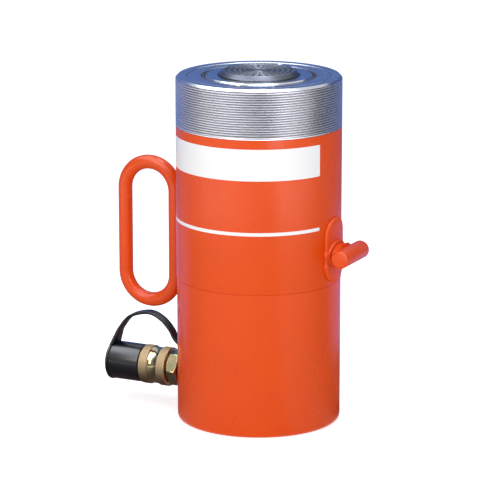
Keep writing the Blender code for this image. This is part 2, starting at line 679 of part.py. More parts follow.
# The strap's centre line rises from the ring, bends out past the hexagon's corner, arches over
# the cap and comes down on the cap's end disc. Shares are of half the span and of the rise.
def strapPath():
    start = Vector((RING_U + RING_THICKNESS / 2, 0.0, RING_R - RING_WIDTH / 3))
    end = Vector((CAP_END - STRAP_THICKNESS / 2, 0.0, CAP_DISC_R - STRAP_THICKNESS))
    crown = (start.x + end.x) / 2
    controls = [start, start + Vector((0, 0, 0.116 * STRAP_RISE))]
    for out, up in (
        (-0.91, 0.447), (-0.745, 0.57), (-0.60, 0.745), (-0.35, 0.915), (0.0, 1.0),
        (0.50, 0.895), (0.80, 0.645), (0.90, 0.49),
    ):
        controls.append(Vector((crown + out * (end.x - crown), 0, up * STRAP_RISE)))
    controls.append(end)
    points = []
    padded = [2 * controls[0] - controls[1]] + controls + [2 * controls[-1] - controls[-2]]
    for i in range(1, len(padded) - 2):
        a, b, c, d = padded[i - 1:i + 3]
        for k in range(STRAP_STEPS):
            t = k / STRAP_STEPS
            points.append(0.5 * (2 * b + (c - a) * t + (2 * a - 5 * b + 4 * c - d) * t ** 2
                                 + (3 * b - 3 * c + d - a) * t ** 3))
    return points + [end]


def makeStrap(coupler):
    points = strapPath()
    bm = bmesh.new()
    rings = []
    for i, point in enumerate(points):
        along = (points[min(i + 1, len(points) - 1)] - points[max(i - 1, 0)]).normalized()
        if i == len(points) - 1:
            along = Vector((0, 0, -1))
        across = Vector((along.z, 0, -along.x)) * STRAP_THICKNESS / 2
        flare = max(0.0, 3.2 * i / (len(points) - 1) - 2.2) ** 2
        wide = Vector((0, (STRAP_WIDTH + STRAP_FLARE * flare) / 2, 0))
        corners = (across + wide, across - wide, -across - wide, wide - across)
        rings.append([bm.verts.new(turnUp(point + corner)) for corner in corners])
    for near, far in zip(rings, rings[1:]):
        for k in range(4):
            bm.faces.new((near[k - 1], near[k], far[k], far[k - 1]))
    bm.faces.new(rings[0])
    bm.faces.new(rings[-1])
    strap = makeObject("cap_strap", bm, (BLACK, 0.45, 0.0), coupler)
    ring = cutter("strap_ring", turned(
        rectangle(PORT_THREAD_R, RING_R, RING_U, RING_U + RING_THICKNESS), COARSE_STEPS), coupler)
    combine(strap, ring, "UNION")
    combine(strap, cutter("disc_clearance", turned(
        rectangle(0.0, CAP_DISC_R + GAP, CAP_END - 2 * CAP_DISC, CAP_END + OVERRUN), FINE_STEPS), coupler))


# A point drawn with x outward and z up is turned into the coupler's own axes.
def turnUp(point):
    return Vector((point.z, point.y, point.x))


def main():
    clearScene()
    coupler = makeEmpty("coupler_axis", (0.0, 0.0, PORT_Z), (0.0, math.radians(-90), 0.0))
    ram = makeEmpty("ram_axis", (0.0, 0.0, 0.0))
    saddle = makeEmpty("saddle_axis", (0.0, 0.0, 0.0))
    saddle.parent = ram
    makeBody(coupler)
    makeGland()
    makeRam(ram)
    makeSpring(ram)
    makeSaddle(saddle)
    makeCarryHandle()
    makeGrabBar()
    makeCouplerBody(coupler)
    makeNose(coupler)
    makeSleeve(coupler)
    makeCheckValve(coupler)
    makeDustCap(coupler)
    makeStrap(coupler)


main()
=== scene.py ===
import math

import bmesh
import bpy
import numpy as np
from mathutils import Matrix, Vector


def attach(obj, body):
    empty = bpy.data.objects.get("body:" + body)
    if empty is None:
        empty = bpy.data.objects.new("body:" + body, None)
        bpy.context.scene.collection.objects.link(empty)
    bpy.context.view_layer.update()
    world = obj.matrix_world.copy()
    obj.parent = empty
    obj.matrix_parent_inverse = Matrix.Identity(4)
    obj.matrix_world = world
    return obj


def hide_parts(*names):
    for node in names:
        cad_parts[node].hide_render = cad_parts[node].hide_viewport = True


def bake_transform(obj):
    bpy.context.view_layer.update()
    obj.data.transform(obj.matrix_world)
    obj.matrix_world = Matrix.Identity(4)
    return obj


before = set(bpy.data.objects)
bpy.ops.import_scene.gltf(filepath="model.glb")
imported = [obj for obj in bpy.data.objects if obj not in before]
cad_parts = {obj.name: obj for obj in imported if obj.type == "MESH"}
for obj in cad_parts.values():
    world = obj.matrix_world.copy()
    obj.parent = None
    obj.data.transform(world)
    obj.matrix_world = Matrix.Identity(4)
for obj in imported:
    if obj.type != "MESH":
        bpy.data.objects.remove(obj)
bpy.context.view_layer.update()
print("frame loaded")

mm = 0.001
fullTurn = 2 * math.pi
portHeight = 33.0 * mm  # the coupler's axis above the base
samePoint = 1e-7  # points closer than this become one
sharpAngle = 38.0  # an edge whose faces turn by more degrees than this stays sharp


# A piece's sizes are written in millimetres and kept in metres. Counts and shares join them as
# they are.
def millimetres(**sizes):
    return {key: value * mm for key, value in sizes.items()}


# Shapes

def shadeMesh(mesh, sharp):
    mesh.shade_smooth()
    mesh.set_sharp_from_angle(angle=math.radians(sharp))


def addToScene(name, data):
    made = bpy.data.objects.new(name, data)
    bpy.context.scene.collection.objects.link(made)
    return made


# A grid of points, rows by columns, becomes a quad mesh. It may wrap round in either direction.
# Points that fall together at a pole are merged, and the faces are turned to point outwards.
# "seam" names, for each row, the row that it meets again in the first column after one turn.
def gridPiece(name, grid, wrapRows=False, wrapColumns=False, caps=False, sharp=sharpAngle,
              merge=True, seam=None):
    rows, columns = grid.shape[:2]
    index = np.arange(rows * columns).reshape(rows, columns)
    if wrapRows:
        index = np.vstack([index, index[:1]])
    if seam is not None:
        index = np.hstack([index, index[seam, :1]])
    if wrapColumns:
        index = np.hstack([index, index[:, :1]])
    corners = [index[:-1, :-1], index[:-1, 1:], index[1:, 1:], index[1:, :-1]]
    quads = np.stack(corners, axis=-1).reshape(-1, 4)
    mesh = bpy.data.meshes.new(name)
    mesh.vertices.add(rows * columns)
    mesh.vertices.foreach_set("co", grid.reshape(-1).astype(np.float32))
    mesh.loops.add(quads.size)
    mesh.loops.foreach_set("vertex_index", quads.reshape(-1).astype(np.int32))
    mesh.polygons.add(len(quads))
    mesh.polygons.foreach_set("loop_start", np.arange(0, quads.size, 4, dtype=np.int32))
    mesh.update(calc_edges=True)
    bm = bmesh.new()
    bm.from_mesh(mesh)
    if caps:
        bm.verts.ensure_lookup_table()
        bm.faces.new([bm.verts[i] for i in range(columns)])
        bm.faces.new([bm.verts[(rows - 1) * columns + i] for i in range(columns)])
    if merge:
        bmesh.ops.remove_doubles(bm, verts=bm.verts, dist=samePoint)
        bmesh.ops.dissolve_degenerate(bm, edges=bm.edges, dist=samePoint)
    bmesh.ops.recalc_face_normals(bm, faces=bm.faces)
    bm.to_mesh(mesh)
    bm.free()
    shadeMesh(mesh, sharp)
    return addToScene(name, mesh)


# Each corner (a, b, radius) of a profile is rounded by an arc that meets both sides, from one
# tangent point to the other about the arc's centre. A corner (a, b) stays sharp.
def roundedProfile(corners, steps=5):
    points = []
    count = len(corners)
    for i, (a, b, *rounding) in enumerate(corners):
        here = np.array([a, b])
        if not rounding:
            points.append(here)
            continue
        radius = rounding[0]
        before = np.array(corners[i - 1][:2]) - here
        after = np.array(corners[(i + 1) % count][:2]) - here
        before = before / np.linalg.norm(before)
        after = after / np.linalg.norm(after)
        half = 0.5 * math.acos(np.clip(before @ after, -1, 1))
        reach = radius / math.tan(half)
        bisector = (before + after) / np.linalg.norm(before + after)
        centre = here + bisector * radius / math.sin(half)
        first = here + before * reach - centre
        last = here + after * reach - centre
        start = math.atan2(first[1], first[0])
        turn = (math.atan2(last[1], last[0]) - start + math.pi) % fullTurn - math.pi
        angles = start + turn * np.linspace(0, 1, steps)
        points.extend(centre + radius * np.stack([np.cos(angles), np.sin(angles)], axis=1))
    return np.array(points)


def anglesRound(steps):
    return np.linspace(0, fullTurn, steps, endpoint=False)


# Points about the Z axis: x = r cos t, y = r sin t, z = h.
def polar(radius, angle, height):
    parts = np.broadcast_arrays(radius * np.cos(angle), radius * np.sin(angle), height)
    return np.stack(parts, axis=-1)


# A profile of (radius, height) is carried round the Z axis.
def turnedGrid(profile, steps):
    return polar(profile[:, :1], anglesRound(steps), profile[:, 1:])


# The same grid laid along the coupler's axis: local height becomes the distance out along -X.
def alongCoupler(grid):
    return np.stack([-grid[..., 2], grid[..., 1], portHeight + grid[..., 0]], axis=-1)


# A piece turned from corners of (radius, height, rounding), about the Z axis or the coupler's.
# A closed profile makes a ring, and an open one starts and ends on the axis.
def turnedPiece(name, corners, steps, closed=True, outward=False):
    grid = turnedGrid(roundedProfile(corners), steps)
    return gridPiece(name, alongCoupler(grid) if outward else grid, wrapRows=closed, wrapColumns=True)


# A section of (across, up) points is carried along a path. "across" is fixed, and "up" is square
# to it and to the path, so the section does not twist.
def sweptGrid(path, section, across, closed=False):
    if closed:
        along = np.roll(path, -1, axis=0) - np.roll(path, 1, axis=0)
    else:
        along = np.gradient(path, axis=0)
    along /= np.linalg.norm(along, axis=1)[:, None]
    side = np.broadcast_to(np.asarray(across, float), path.shape)
    up = np.cross(along, side)
    up /= np.linalg.norm(up, axis=1)[:, None]
    if section.ndim == 2:
        section = np.broadcast_to(section, (len(path),) + section.shape)
    return path[:, None, :] + section[..., :1] * side[:, None, :] + section[..., 1:] * up[:, None, :]


def circle(radius, steps):
    angle = anglesRound(steps)
    return radius * np.stack([np.cos(angle), np.sin(angle)], axis=1)


# Cuts another mesh out of a piece, and keeps only the result.
def cutOut(piece, cutter):
    modifier = piece.modifiers.new("cut", "BOOLEAN")
    modifier.operation = "DIFFERENCE"
    modifier.object = cutter
    bpy.context.view_layer.update()
    evaluated = piece.evaluated_get(bpy.context.evaluated_depsgraph_get())
    result = bpy.data.meshes.new_from_object(evaluated)
    piece.modifiers.clear()
    piece.data = result
    shadeMesh(result, sharpAngle)
    bpy.data.objects.remove(cutter)


def dress(piece, material, body, *nodes, slot=None):
    piece.data.materials.clear()
    piece.data.materials.append(material)
    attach(piece, body)
    if nodes:
        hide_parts(*nodes)
    return piece


# Materials. Their grain is drawn two to four times coarser than the real one, so that it shows.

def toLinear(code):
    values = [int(code[i:i + 2], 16) / 255 for i in (1, 3, 5)]
    return tuple(v / 12.92 if v <= 0.04045 else ((v + 0.055) / 1.055) ** 2.4 for v in values) + (1.0,)


# Adds one node: its settings, its plain input values, and the sockets that feed it.
def addNode(tree, kind, settings=None, values=None, links=None):
    made = tree.nodes.new("ShaderNode" + kind)
    for key, value in (settings or {}).items():
        setattr(made, key, value)
    for key, value in (values or {}).items():
        made.inputs[key].default_value = value
    for key, socket in (links or {}).items():
        tree.links.new(socket, made.inputs[key])
    return made


def startMaterial(name, colour, values):
    material = bpy.data.materials.new(name)
    material.use_nodes = True
    tree = material.node_tree
    shader = tree.nodes["Principled BSDF"]
    shader.inputs["Base Color"].default_value = toLinear(colour)
    for key, value in values.items():
        shader.inputs[key].default_value = value
    place = addNode(tree, "TexCoord").outputs["Object"]
    return material, tree, shader, place


# Noise whose grain is so many millimetres across, read from the piece's own coordinates.
def grain(tree, place, size, detail=2.0, rough=0.5):
    values = {"Scale": 1 / (size * mm), "Detail": detail, "Roughness": rough}
    return addNode(tree, "TexNoise", None, values, {"Vector": place}).outputs["Fac"]


# What a finish adds to its plain colour: a cloud mixes two tones and spreads the roughness,
# and a fine grain raises the surface by so many millimetres.
def layerFinish(tree, shader, cloud, tones=None, spread=None, raised=None):
    if tones:
        tint = addNode(tree, "Mix", {"data_type": "RGBA"},
                       {"A": toLinear(tones[0]), "B": toLinear(tones[1])}, {"Factor": cloud})
        tree.links.new(tint.outputs["Result"], shader.inputs["Base Color"])
    if spread:
        rough = addNode(tree, "MapRange", None, {"To Min": spread[0], "To Max": spread[1]},
                        {"Value": cloud})
        tree.links.new(rough.outputs["Result"], shader.inputs["Roughness"])
    if raised:
        fine, strength, height = raised
        bump = addNode(tree, "Bump", None, {"Strength": strength, "Distance": height * mm},
                       {"Height": fine})
        tree.links.new(bump.outputs["Normal"], shader.inputs["Normal"])


# Steel left by a lathe tool: rings of tool marks about the ram's axis, and a thin film of oil.
# Where a root is given, the metal is painted darker from that radius, or height, down: painted shade in the
# roots of the thread and in the bottoms of the saddle's grooves.
def makeTurnedSteel(name, colour, roughness, spacing, strength, root=None, byHeight=False):
    look = {"rootShade": "#565962", "stain": 24.0, "bright": 0.07, "dull": 0.09, "height": 0.04}
    material, tree, shader, place = startMaterial(name, colour, {"Metallic": 1.0})
    parts = addNode(tree, "SeparateXYZ", None, None, {"Vector": place}).outputs
    square = addNode(tree, "Math", {"operation": "MULTIPLY"}, None, {0: parts["X"], 1: parts["X"]})
    both = addNode(tree, "Math", {"operation": "MULTIPLY_ADD"}, None,
                   {0: parts["Y"], 1: parts["Y"], 2: square.outputs[0]})
    radius = addNode(tree, "Math", {"operation": "SQRT"}, None, {0: both.outputs[0]}).outputs[0]
    marks = addNode(tree, "CombineXYZ", None, None, {"X": radius, "Y": parts["Z"]}).outputs[0]
    if root:
        depth = addNode(tree, "MapRange", None, {"From Min": root[0], "From Max": root[1]},
                        {"Value": parts["Z"] if byHeight else radius})
        # Painted shade: the tone darkens towards the root.
        layerFinish(tree, shader, depth.outputs["Result"], (look["rootShade"], colour))
    fine = grain(tree, marks, spacing, 3.0, 0.7)
    layerFinish(tree, shader, grain(tree, place, look["stain"], 4.0), None,
                (roughness - look["bright"], roughness + look["dull"]), (fine, strength, look["height"]))
    return material


# Finishes whose tones and gloss follow one cloud of noise, over a fine grain. "cloud" is its size
# and detail, "gloss" how far the roughness strays, and "bump" the grain's strength and height.
clouds = {
    # Sprayed and baked enamel on turned steel: a wet gloss over a faint orange peel.
    "enamel": {"values": {"IOR": 1.42}, "cloud": (38.0, 3.0), "gloss": (-0.04, 0.05), "detail": 1.0,
               "bump": (0.05, 0.05)},
    # Yellow zinc plate on machined steel: a warm metal with a faint greenish bloom.
    "zinc": {"values": {"Metallic": 1.0}, "cloud": (9.0, 4.0), "gloss": (-0.05, 0.1), "detail": 2.0,
             "bump": (0.12, 0.03)},
    # Moulded rubber: nearly black, with the mould's fine matt grain and dust in it.
    "rubber": {"values": {"IOR": 1.62}, "cloud": (12.0, 4.0), "gloss": (-0.06, 0.08), "detail": 2.0,
               "bump": (0.15, 0.05)},
    # Printed vinyl film, satin, with the faint roll texture of the film.
    "film": {"values": {"IOR": 1.46}, "cloud": (3.0, 2.0), "gloss": (-0.05, 0.06)},
}


def makeClouded(name, kind, tones, roughness, size=None):
    look = clouds[kind]
    material, tree, shader, place = startMaterial(name, tones[0], look["values"])
    raised = size and (grain(tree, place, size, look["detail"]), *look["bump"])
    gloss = [roughness + stray for stray in look["gloss"]]
    tones = tones if len(tones) > 1 else None
    layerFinish(tree, shader, grain(tree, place, *look["cloud"]), tones, gloss, raised)
    return material


# Painted shade: the thread is drawn darker between these radii, darkest at its roots, and the saddle between
# these heights, darkest in its grooves.
threadRootShade = (71.72 * mm, 72.0 * mm)
saddleGrooveShade = (312.7 * mm, 313.45 * mm)
enamel = makeClouded("orangeEnamel", "enamel", ("#E5500A", "#DC4808"), 0.26, 1.6)
threadSteel = makeTurnedSteel("cutThreadSteel", "#E2E2E6", 0.28, 0.35, 0.05, threadRootShade)
faceSteel = makeTurnedSteel("facedSteel", "#C3C7CF", 0.20, 0.30, 0.30)
chromedSteel = makeTurnedSteel("groundChrome", "#C2C6CC", 0.16, 0.25, 0.10)
saddleSteel = makeTurnedSteel("hardenedSaddleSteel", "#6A707A", 0.33, 0.4, 0.06, saddleGrooveShade, True)
darkSteel = makeTurnedSteel("oiledSteel", "#5C5F64", 0.36, 0.5, 0.3)
smoothZinc = makeClouded("yellowZincTurned", "zinc", ("#C9B78E", "#A9A47F"), 0.12, 0.5)
knurledZinc = makeClouded("yellowZincKnurled", "zinc", ("#AD9571", "#9F9072"), 0.42, 0.5)
bronze = makeTurnedSteel("bearingBronze", "#A97B3F", 0.35, 0.5, 0.3)
sealRubber = makeClouded("nitrileRubber", "rubber", ("#17181A", "#232427"), 0.5, 0.4)
capRubber = makeClouded("mouldedBlackRubber", "rubber", ("#090A0E", "#111319"), 0.27, 0.5)
whiteFilm = makeClouded("whiteVinylFilm", "film", ("#F1F0EE",), 0.32)
print("materials made")


# Cylinder body and collar

body = millimetres(
    upper=72.93, lower=72.5, baseRound=2.6, step=129.0, lineDepth=0.35, lineLow=0.5, lineHigh=0.3,
    stepRise=0.1, stepRound=0.35, paintTop=265.0, paintRound=0.3, paintLedge=1.6, height=309.0,
    bore=57.15, floor=28.0, floorRound=2.0, glandSeat=63.0, glandFloor=273.0,
) | {
    "steps": 240,
}
port = millimetres(
    radius=8.6, oilway=3.0, start=50.0, seat=60.6, end=78.0,
) | {
    "steps": 48,
}
collar = millimetres(
    major=73.02, depth=1.25, pitch=25.4 / 12, bottom=265.4, top=306.9, runout=1.0, lip=0.2,
    chamfer=2.1, chamferRound=0.25, seatRound=0.9, paintGap=0.1, underEdge=1.9, underTop=0.6,
    flank=0.5,
) | {
    "crest": 0.046, "root": 0.431, "steps": 256, "sharp": 30,
}


def makeBody():
    lower, upper, step, top = (body[key] for key in ("lower", "upper", "step", "paintTop"))
    neck = lower - body["lineDepth"]
    piece = turnedPiece("paintedBody", [
        (0, 0), (lower, 0, body["baseRound"]), (lower, step - body["lineLow"]),
        (neck, step - body["lineHigh"]), (neck, step),
        (upper, step + body["stepRise"], body["stepRound"]), (upper, top, body["paintRound"]),
        (upper - body["paintLedge"], top), (body["bore"], top),
        (body["bore"], body["floor"], body["floorRound"]), (0, body["floor"]),
    ], body["steps"], closed=False)
    cutOut(piece, turnedPiece("portHole", [
        (0, port["start"]), (port["oilway"], port["start"]), (port["oilway"], port["seat"]),
        (port["radius"], port["seat"]), (port["radius"], port["end"]), (0, port["end"]),
    ], port["steps"], closed=False, outward=True))
    return piece


# Each row of the thread climbs one pitch in a turn: z = pitch * (turns + phase + angle / 2 pi).
# The rows lie on the corners of a 60 degree V with a flat crest and root, and stop at both ends.
def makeCollar():
    crest, root, bottom, top = (collar[key] for key in ("crest", "root", "bottom", "top"))
    major, pitch = collar["major"], collar["pitch"]
    half = (crest + root) / 2
    phases = np.array([0.0, crest, half, root, 1 - root, 1 - half, 1 - crest])
    turns = math.ceil((top - bottom) / pitch) + 2
    climb = (np.arange(turns)[:, None] + phases[None, :] - 1).reshape(-1)
    angle = anglesRound(collar["steps"])
    height = np.clip(bottom + pitch * (climb[:, None] + angle / fullTurn), bottom, top)
    phase = ((height - bottom) / pitch - angle / fullTurn) % 1.0
    cut = np.clip((0.5 - crest - np.abs(phase - 0.5)) / (root - crest), 0, 1)
    fade = np.clip((height - bottom) / collar["runout"], 0, 1)
    thread = polar(major - collar["depth"] * cut * fade, angle, height)
    end, seat, low = body["height"], body["glandSeat"], body["paintTop"] + collar["paintGap"]
    upper = roundedProfile([
        (major - collar["lip"], top), (major - collar["chamfer"], end, collar["chamferRound"]),
        (seat, end, collar["seatRound"]), (seat, body["glandFloor"]),
        (body["bore"], body["glandFloor"]), (body["bore"], low),
        (major - collar["underEdge"], low), (major - collar["underTop"], bottom - collar["lip"]),
    ])
    grid = np.concatenate([thread, turnedGrid(upper, collar["steps"])], axis=0)
    seam = np.arange(len(grid))
    seam[:len(thread)] = np.minimum(seam[:len(thread)] + len(phases), len(thread) - 1)
    return gridPiece("threadedCollar", grid, wrapRows=True, sharp=collar["sharp"],
                     seam=np.append(seam, seam[0]))


dress(makeBody(), enamel, "housing", "cylinder_body", slot="cylinder_body")
collarPiece = dress(makeCollar(), threadSteel, "housing", "cylinder_body", slot="cylinder_body")
collarPiece.data.materials.append(faceSteel)
threadFloor = collar["major"] - collar["depth"] - collar["flank"]
for face in collarPiece.data.polygons:
    threaded = face.center.z < collar["top"] and face.center.xy.length > threadFloor
    face.material_index = 0 if threaded else 1
print("body and collar made")


# Gland nut and wiper

gland = millimetres(
    outer=62.7, inner=47.93, top=308.7, low=273.3, lowRound=0.8, topRound=1.2, pocket=50.6,
    pocketDepth=8.0, pocketRound=0.5,
) | {
    "steps": 192,
}
pins = millimetres(
    circle=55.8, radius=2.75, depth=8.0, bevel=0.5, bevelDepth=0.4, rise=0.1, clear=3.0,
) | {
    "angles": (97, 277), "steps": 40,
}
wiper = millimetres(
    outer=50.3, back=0.8, low=7.7, edge=0.5, edgeRound=0.4, dip=1.0, dipRound=0.3, lip=0.2,
    lipRound=0.15, lipLow=1.6, lipRoot=3.2,
)


def makeGland():
    inner, outer, top, low = (gland[key] for key in ("inner", "outer", "top", "low"))
    pocketFloor = top - gland["pocketDepth"]
    piece = turnedPiece("glandRing", [
        (inner, low), (outer, low, gland["lowRound"]), (outer, top, gland["topRound"]),
        (gland["pocket"], top, gland["pocketRound"]), (gland["pocket"], pocketFloor),
        (inner, pocketFloor),
    ], gland["steps"])
    radius, wide = pins["radius"], pins["radius"] + pins["bevel"]
    hole = roundedProfile([
        (0, top - pins["depth"]), (radius, top - pins["depth"]), (radius, top - pins["bevelDepth"]),
        (wide, top + pins["rise"]), (wide, top + pins["clear"]), (0, top + pins["clear"]),
    ])
    for degrees in pins["angles"]:
        angle = math.radians(degrees)
        grid = turnedGrid(hole, pins["steps"])
        grid[..., 0] += pins["circle"] * math.cos(angle)
        grid[..., 1] += pins["circle"] * math.sin(angle)
        cutOut(piece, gridPiece("pinHole", grid, wrapColumns=True))
    return piece


def makeWiper():
    top, inner, outer = gland["top"], gland["inner"], wiper["outer"]
    back = inner + wiper["back"]
    return turnedPiece("wiperRing", [
        (back, top - wiper["low"]), (outer, top - wiper["low"]),
        (outer, top - wiper["edge"], wiper["edgeRound"]),
        (outer - wiper["dip"], top - wiper["dip"], wiper["dipRound"]),
        (inner, top - wiper["lip"], wiper["lipRound"]), (inner, top - wiper["lipLow"]),
        (back, top - wiper["lipRoot"]),
    ], gland["steps"])


dress(makeGland(), faceSteel, "housing", "gland_nut", slot="machined_steel")
dress(makeWiper(), sealRubber, "housing", "rod_wiper", slot="seal_rubber")
print("gland made")


# Plunger and saddle

ram = millimetres(
    radius=47.625, top=309.3, chamfer=1.7, chamferLow=0.4, chamferHigh=0.3, head=56.55, headLow=50.2,
    headRound=0.5, headTop=72.3, headTopRound=1.0, low=28.3, mouthRound=0.6, spigot=43.0,
    spigotRound=0.8, grooveLow=55.4, grooveHigh=67.4, grooveWall=3.0, cavity=30.0, cavityTop=270.0,
    cavityRound=1.0, recess=36.1, recessFloor=303.3, recessRound=0.4, recessRoot=0.6, stem=12.3,
    stemBevel=1.6, stemFloor=285.7, tap=5.3, tapTop=282.0,
) | {
    "steps": 192,
}
saddle = millimetres(
    radius=35.5, top=313.5, low=303.6, bevelRadius=31.6, bevelDrop=3.7, bevelRound=0.8, lowRound=0.5,
    brim=0.4, brimDrop=0.3, faceGap=0.1, stem=12.0, stemLow=286.6, stemRound=0.9, neck=9.1,
    neckRound=0.3, ringLow=297.7, ringHigh=301.5, centre=0.01,
) | {
    "steps": 288, "sharp": 32,
}
grooves = millimetres(
    pitch=4.6, depth=1.0, start=3.0, rise=1.5, end=1.2, border=0.5, hubStep=0.2, toothDepth=0.7,
    toothReach=14.0,
) | {
    "slope": 1.5, "flat": 0.25, "hubRings": 4, "rings": 92, "teeth": 26, "toothSlope": 3.2,
    "toothStart": 0.35,
}


def makePlunger():
    head, wall = ram["head"], ram["head"] - ram["grooveWall"]
    radius, top, stem = ram["radius"], ram["top"], ram["stem"]
    return turnedPiece("chromedPlunger", [
        (ram["cavity"], ram["low"], ram["mouthRound"]), (ram["spigot"], ram["low"], ram["spigotRound"]),
        (ram["spigot"], ram["headLow"]), (head, ram["headLow"], ram["headRound"]),
        (head, ram["grooveLow"]), (wall, ram["grooveLow"]), (wall, ram["grooveHigh"]),
        (head, ram["grooveHigh"]), (head, ram["headTop"], ram["headTopRound"]),
        (radius, ram["headTop"]), (radius, top - ram["chamfer"], ram["chamferLow"]),
        (radius - ram["chamfer"], top, ram["chamferHigh"]), (ram["recess"], top, ram["recessRound"]),
        (ram["recess"], ram["recessFloor"], ram["recessRoot"]),
        (stem + ram["stemBevel"], ram["recessFloor"]), (stem, ram["recessFloor"] - ram["stemBevel"]),
        (stem, ram["stemFloor"]), (0, ram["stemFloor"]), (0, ram["tapTop"]),
        (ram["tap"], ram["tapTop"]), (ram["tap"], ram["cavityTop"]),
        (ram["cavity"], ram["cavityTop"], ram["cavityRound"]),
    ], ram["steps"])


# The saddle's face carries rings of V grooves: the height falls by depth times a triangle wave of
# the radius. Radial cuts break the rings into teeth, so that a load does not slip.
def makeSaddle():
    start, stop = grooves["start"], saddle["bevelRadius"]
    hub = np.linspace(saddle["centre"], start, grooves["hubRings"])
    outer = np.linspace(start + grooves["hubStep"], stop - grooves["border"], grooves["rings"])
    radius = np.concatenate([hub, outer])
    angle = anglesRound(saddle["steps"])
    wave = np.abs(((radius - start) / grooves["pitch"]) % 1.0 - 0.5) * 2
    reach = np.clip((radius - start) / grooves["rise"], 0, 1)
    reach *= np.clip((stop - grooves["end"] - radius) / grooves["end"], 0, 1)
    ring = grooves["depth"] * np.clip(grooves["slope"] * (1 - wave) - grooves["flat"], 0, 1) * reach
    share = (angle * grooves["teeth"] / fullTurn) % 1.0
    notch = np.clip(1 - grooves["toothSlope"] * np.abs(share - 0.5), 0, 1)
    grow = np.clip(radius / grooves["toothReach"] - grooves["toothStart"], 0, 1)
    tooth = grooves["toothDepth"] * notch[None, :] * (reach * grow)[:, None]
    face = polar(radius[:, None], angle, saddle["top"] - np.maximum(ring[:, None], tooth))
    top, stem, neck = saddle["top"], saddle["stem"], saddle["neck"]
    rim = roundedProfile([
        (stop - saddle["faceGap"], top), (stop + saddle["brim"], top - saddle["brimDrop"]),
        (saddle["radius"], top - saddle["bevelDrop"], saddle["bevelRound"]),
        (saddle["radius"], saddle["low"], saddle["lowRound"]), (stem, saddle["low"]),
        (stem, saddle["ringHigh"]), (neck, saddle["ringHigh"], saddle["neckRound"]),
        (neck, saddle["ringLow"], saddle["neckRound"]), (stem, saddle["ringLow"]),
        (stem, saddle["stemLow"], saddle["stemRound"]), (saddle["centre"], saddle["stemLow"]),
    ])
    grid = np.concatenate([face, turnedGrid(rim, saddle["steps"])], axis=0)
    return gridPiece("groovedSaddle", grid, wrapColumns=True, caps=True, sharp=saddle["sharp"])


dress(makePlunger(), chromedSteel, "ram", "piston_rod", slot="plunger_steel")
dress(makeSaddle(), saddleSteel, "saddle", "saddle", slot="machined_steel")
print("plunger and saddle made")


# Pads, handle and grab bar

pads = millimetres(
    width=31.8, height=54.0, corner=14.0, centre=160.15, inner=73.25, outer=76.28, edge=1.1,
) | {
    "steps": 132, "sharp": 60, "edgeTurns": (22.5, 45, 67.5, 90),
    "faceShares": (0.9, 0.75, 0.6, 0.45, 0.3, 0.15, 0.0005),
    "backShares": (0.0005, 0.2, 0.4, 0.6, 0.8),
}
welds = millimetres(
    radius=2.0, ripple=0.16, ripplePitch=1.5, padAt=74.1, padInset=0.6, lumpWidth=2.2,
) | {
    "sides": 12, "sharp": 70, "taper": 1.6, "tip": 0.02, "padSteps": 420, "padRipple": 0.09,
    "lumps": (2.2 * mm, 13.0 * mm), "lumpSwell": 0.55,
}
loop = millimetres(
    bar=6.35, inner=82.975, outer=133.775, low=94.35, high=221.35, corner=25.2, weldRadius=2.8,
    weldReach=27, weldOut=1.4, weldSide=4.6,
) | {
    "path": 200, "sides": 40, "sharp": 80, "weldSteps": 140,
}
crossBar = millimetres(
    radius=7.95, length=48.0, x=88.575, z=157.05, edge=1.4, edgeRound=0.25, beadReach=12, beadSink=0.5,
    beadRadius=2.6,
) | {
    "steps": 64, "beadTurn": 0.9, "beadSteps": 90,
}
stem = millimetres(
    start=73.6, end=84.2, root=15.5, waist=13.0, tip=14.0, weldAt=0.1, weldOval=14.6, weldRadius=1.7,
) | {
    "flatness": 0.72, "rows": 24, "weldSteps": 200, "ripple": 0.10, "wave": 0.14, "waves": 3,
    "waveStart": 0.6,
}


# A rounded rectangle in (across, up), as an even run of points round its edge.
def roundedOutline(width, height, corner, count):
    dense = []
    for sx, sy, start in ((1, 1, 0), (-1, 1, 90), (-1, -1, 180), (1, -1, 270)):
        angles = np.radians(np.linspace(start, start + 90, 24))
        dense.append(np.stack([sx * (width / 2 - corner) + corner * np.cos(angles),
                               sy * (height / 2 - corner) + corner * np.sin(angles)], axis=1))
    dense = np.concatenate(dense)
    dense = np.vstack([dense, dense[:1]])
    length = np.concatenate([[0], np.cumsum(np.linalg.norm(np.diff(dense, axis=0), axis=1))])
    target = np.linspace(0, length[-1], count, endpoint=False)
    return np.stack([np.interp(target, length, dense[:, k]) for k in range(2)], axis=1)


# Flat (across, up) points are rolled onto a cylinder: angle = across / the pad's outer radius.
def rollOn(points, radius, facing):
    grid = polar(radius, points[..., 0] / pads["outer"], pads["centre"] + points[..., 1])
    return grid * (facing, 1, 1)


# A pad is rings of its outline: out over the back, up the wall, round the edge, then in over the
# face to the middle.
def makePad(name, facing):
    outline = roundedOutline(pads["width"], pads["height"], pads["corner"], pads["steps"])
    inner, outer, edge = (pads[key] for key in ("inner", "outer", "edge"))
    perInset = np.array([2 / pads["width"], 2 / pads["height"]])
    spans = [(0.0, inner), (0.0, outer - edge)]
    for degrees in pads["edgeTurns"]:
        turn = math.radians(degrees)
        spans.append((edge * (1 - math.cos(turn)), outer - edge + edge * math.sin(turn)))
    rings = [rollOn(outline * share, inner, facing) for share in pads["backShares"]]
    rings += [rollOn(outline * (1 - inset * perInset), radius, facing) for inset, radius in spans]
    face = outline * (1 - edge * perInset)
    rings += [rollOn(face * share, outer, facing) for share in pads["faceShares"]]
    return gridPiece(name, np.array(rings), wrapColumns=True, caps=True, sharp=pads["sharp"])


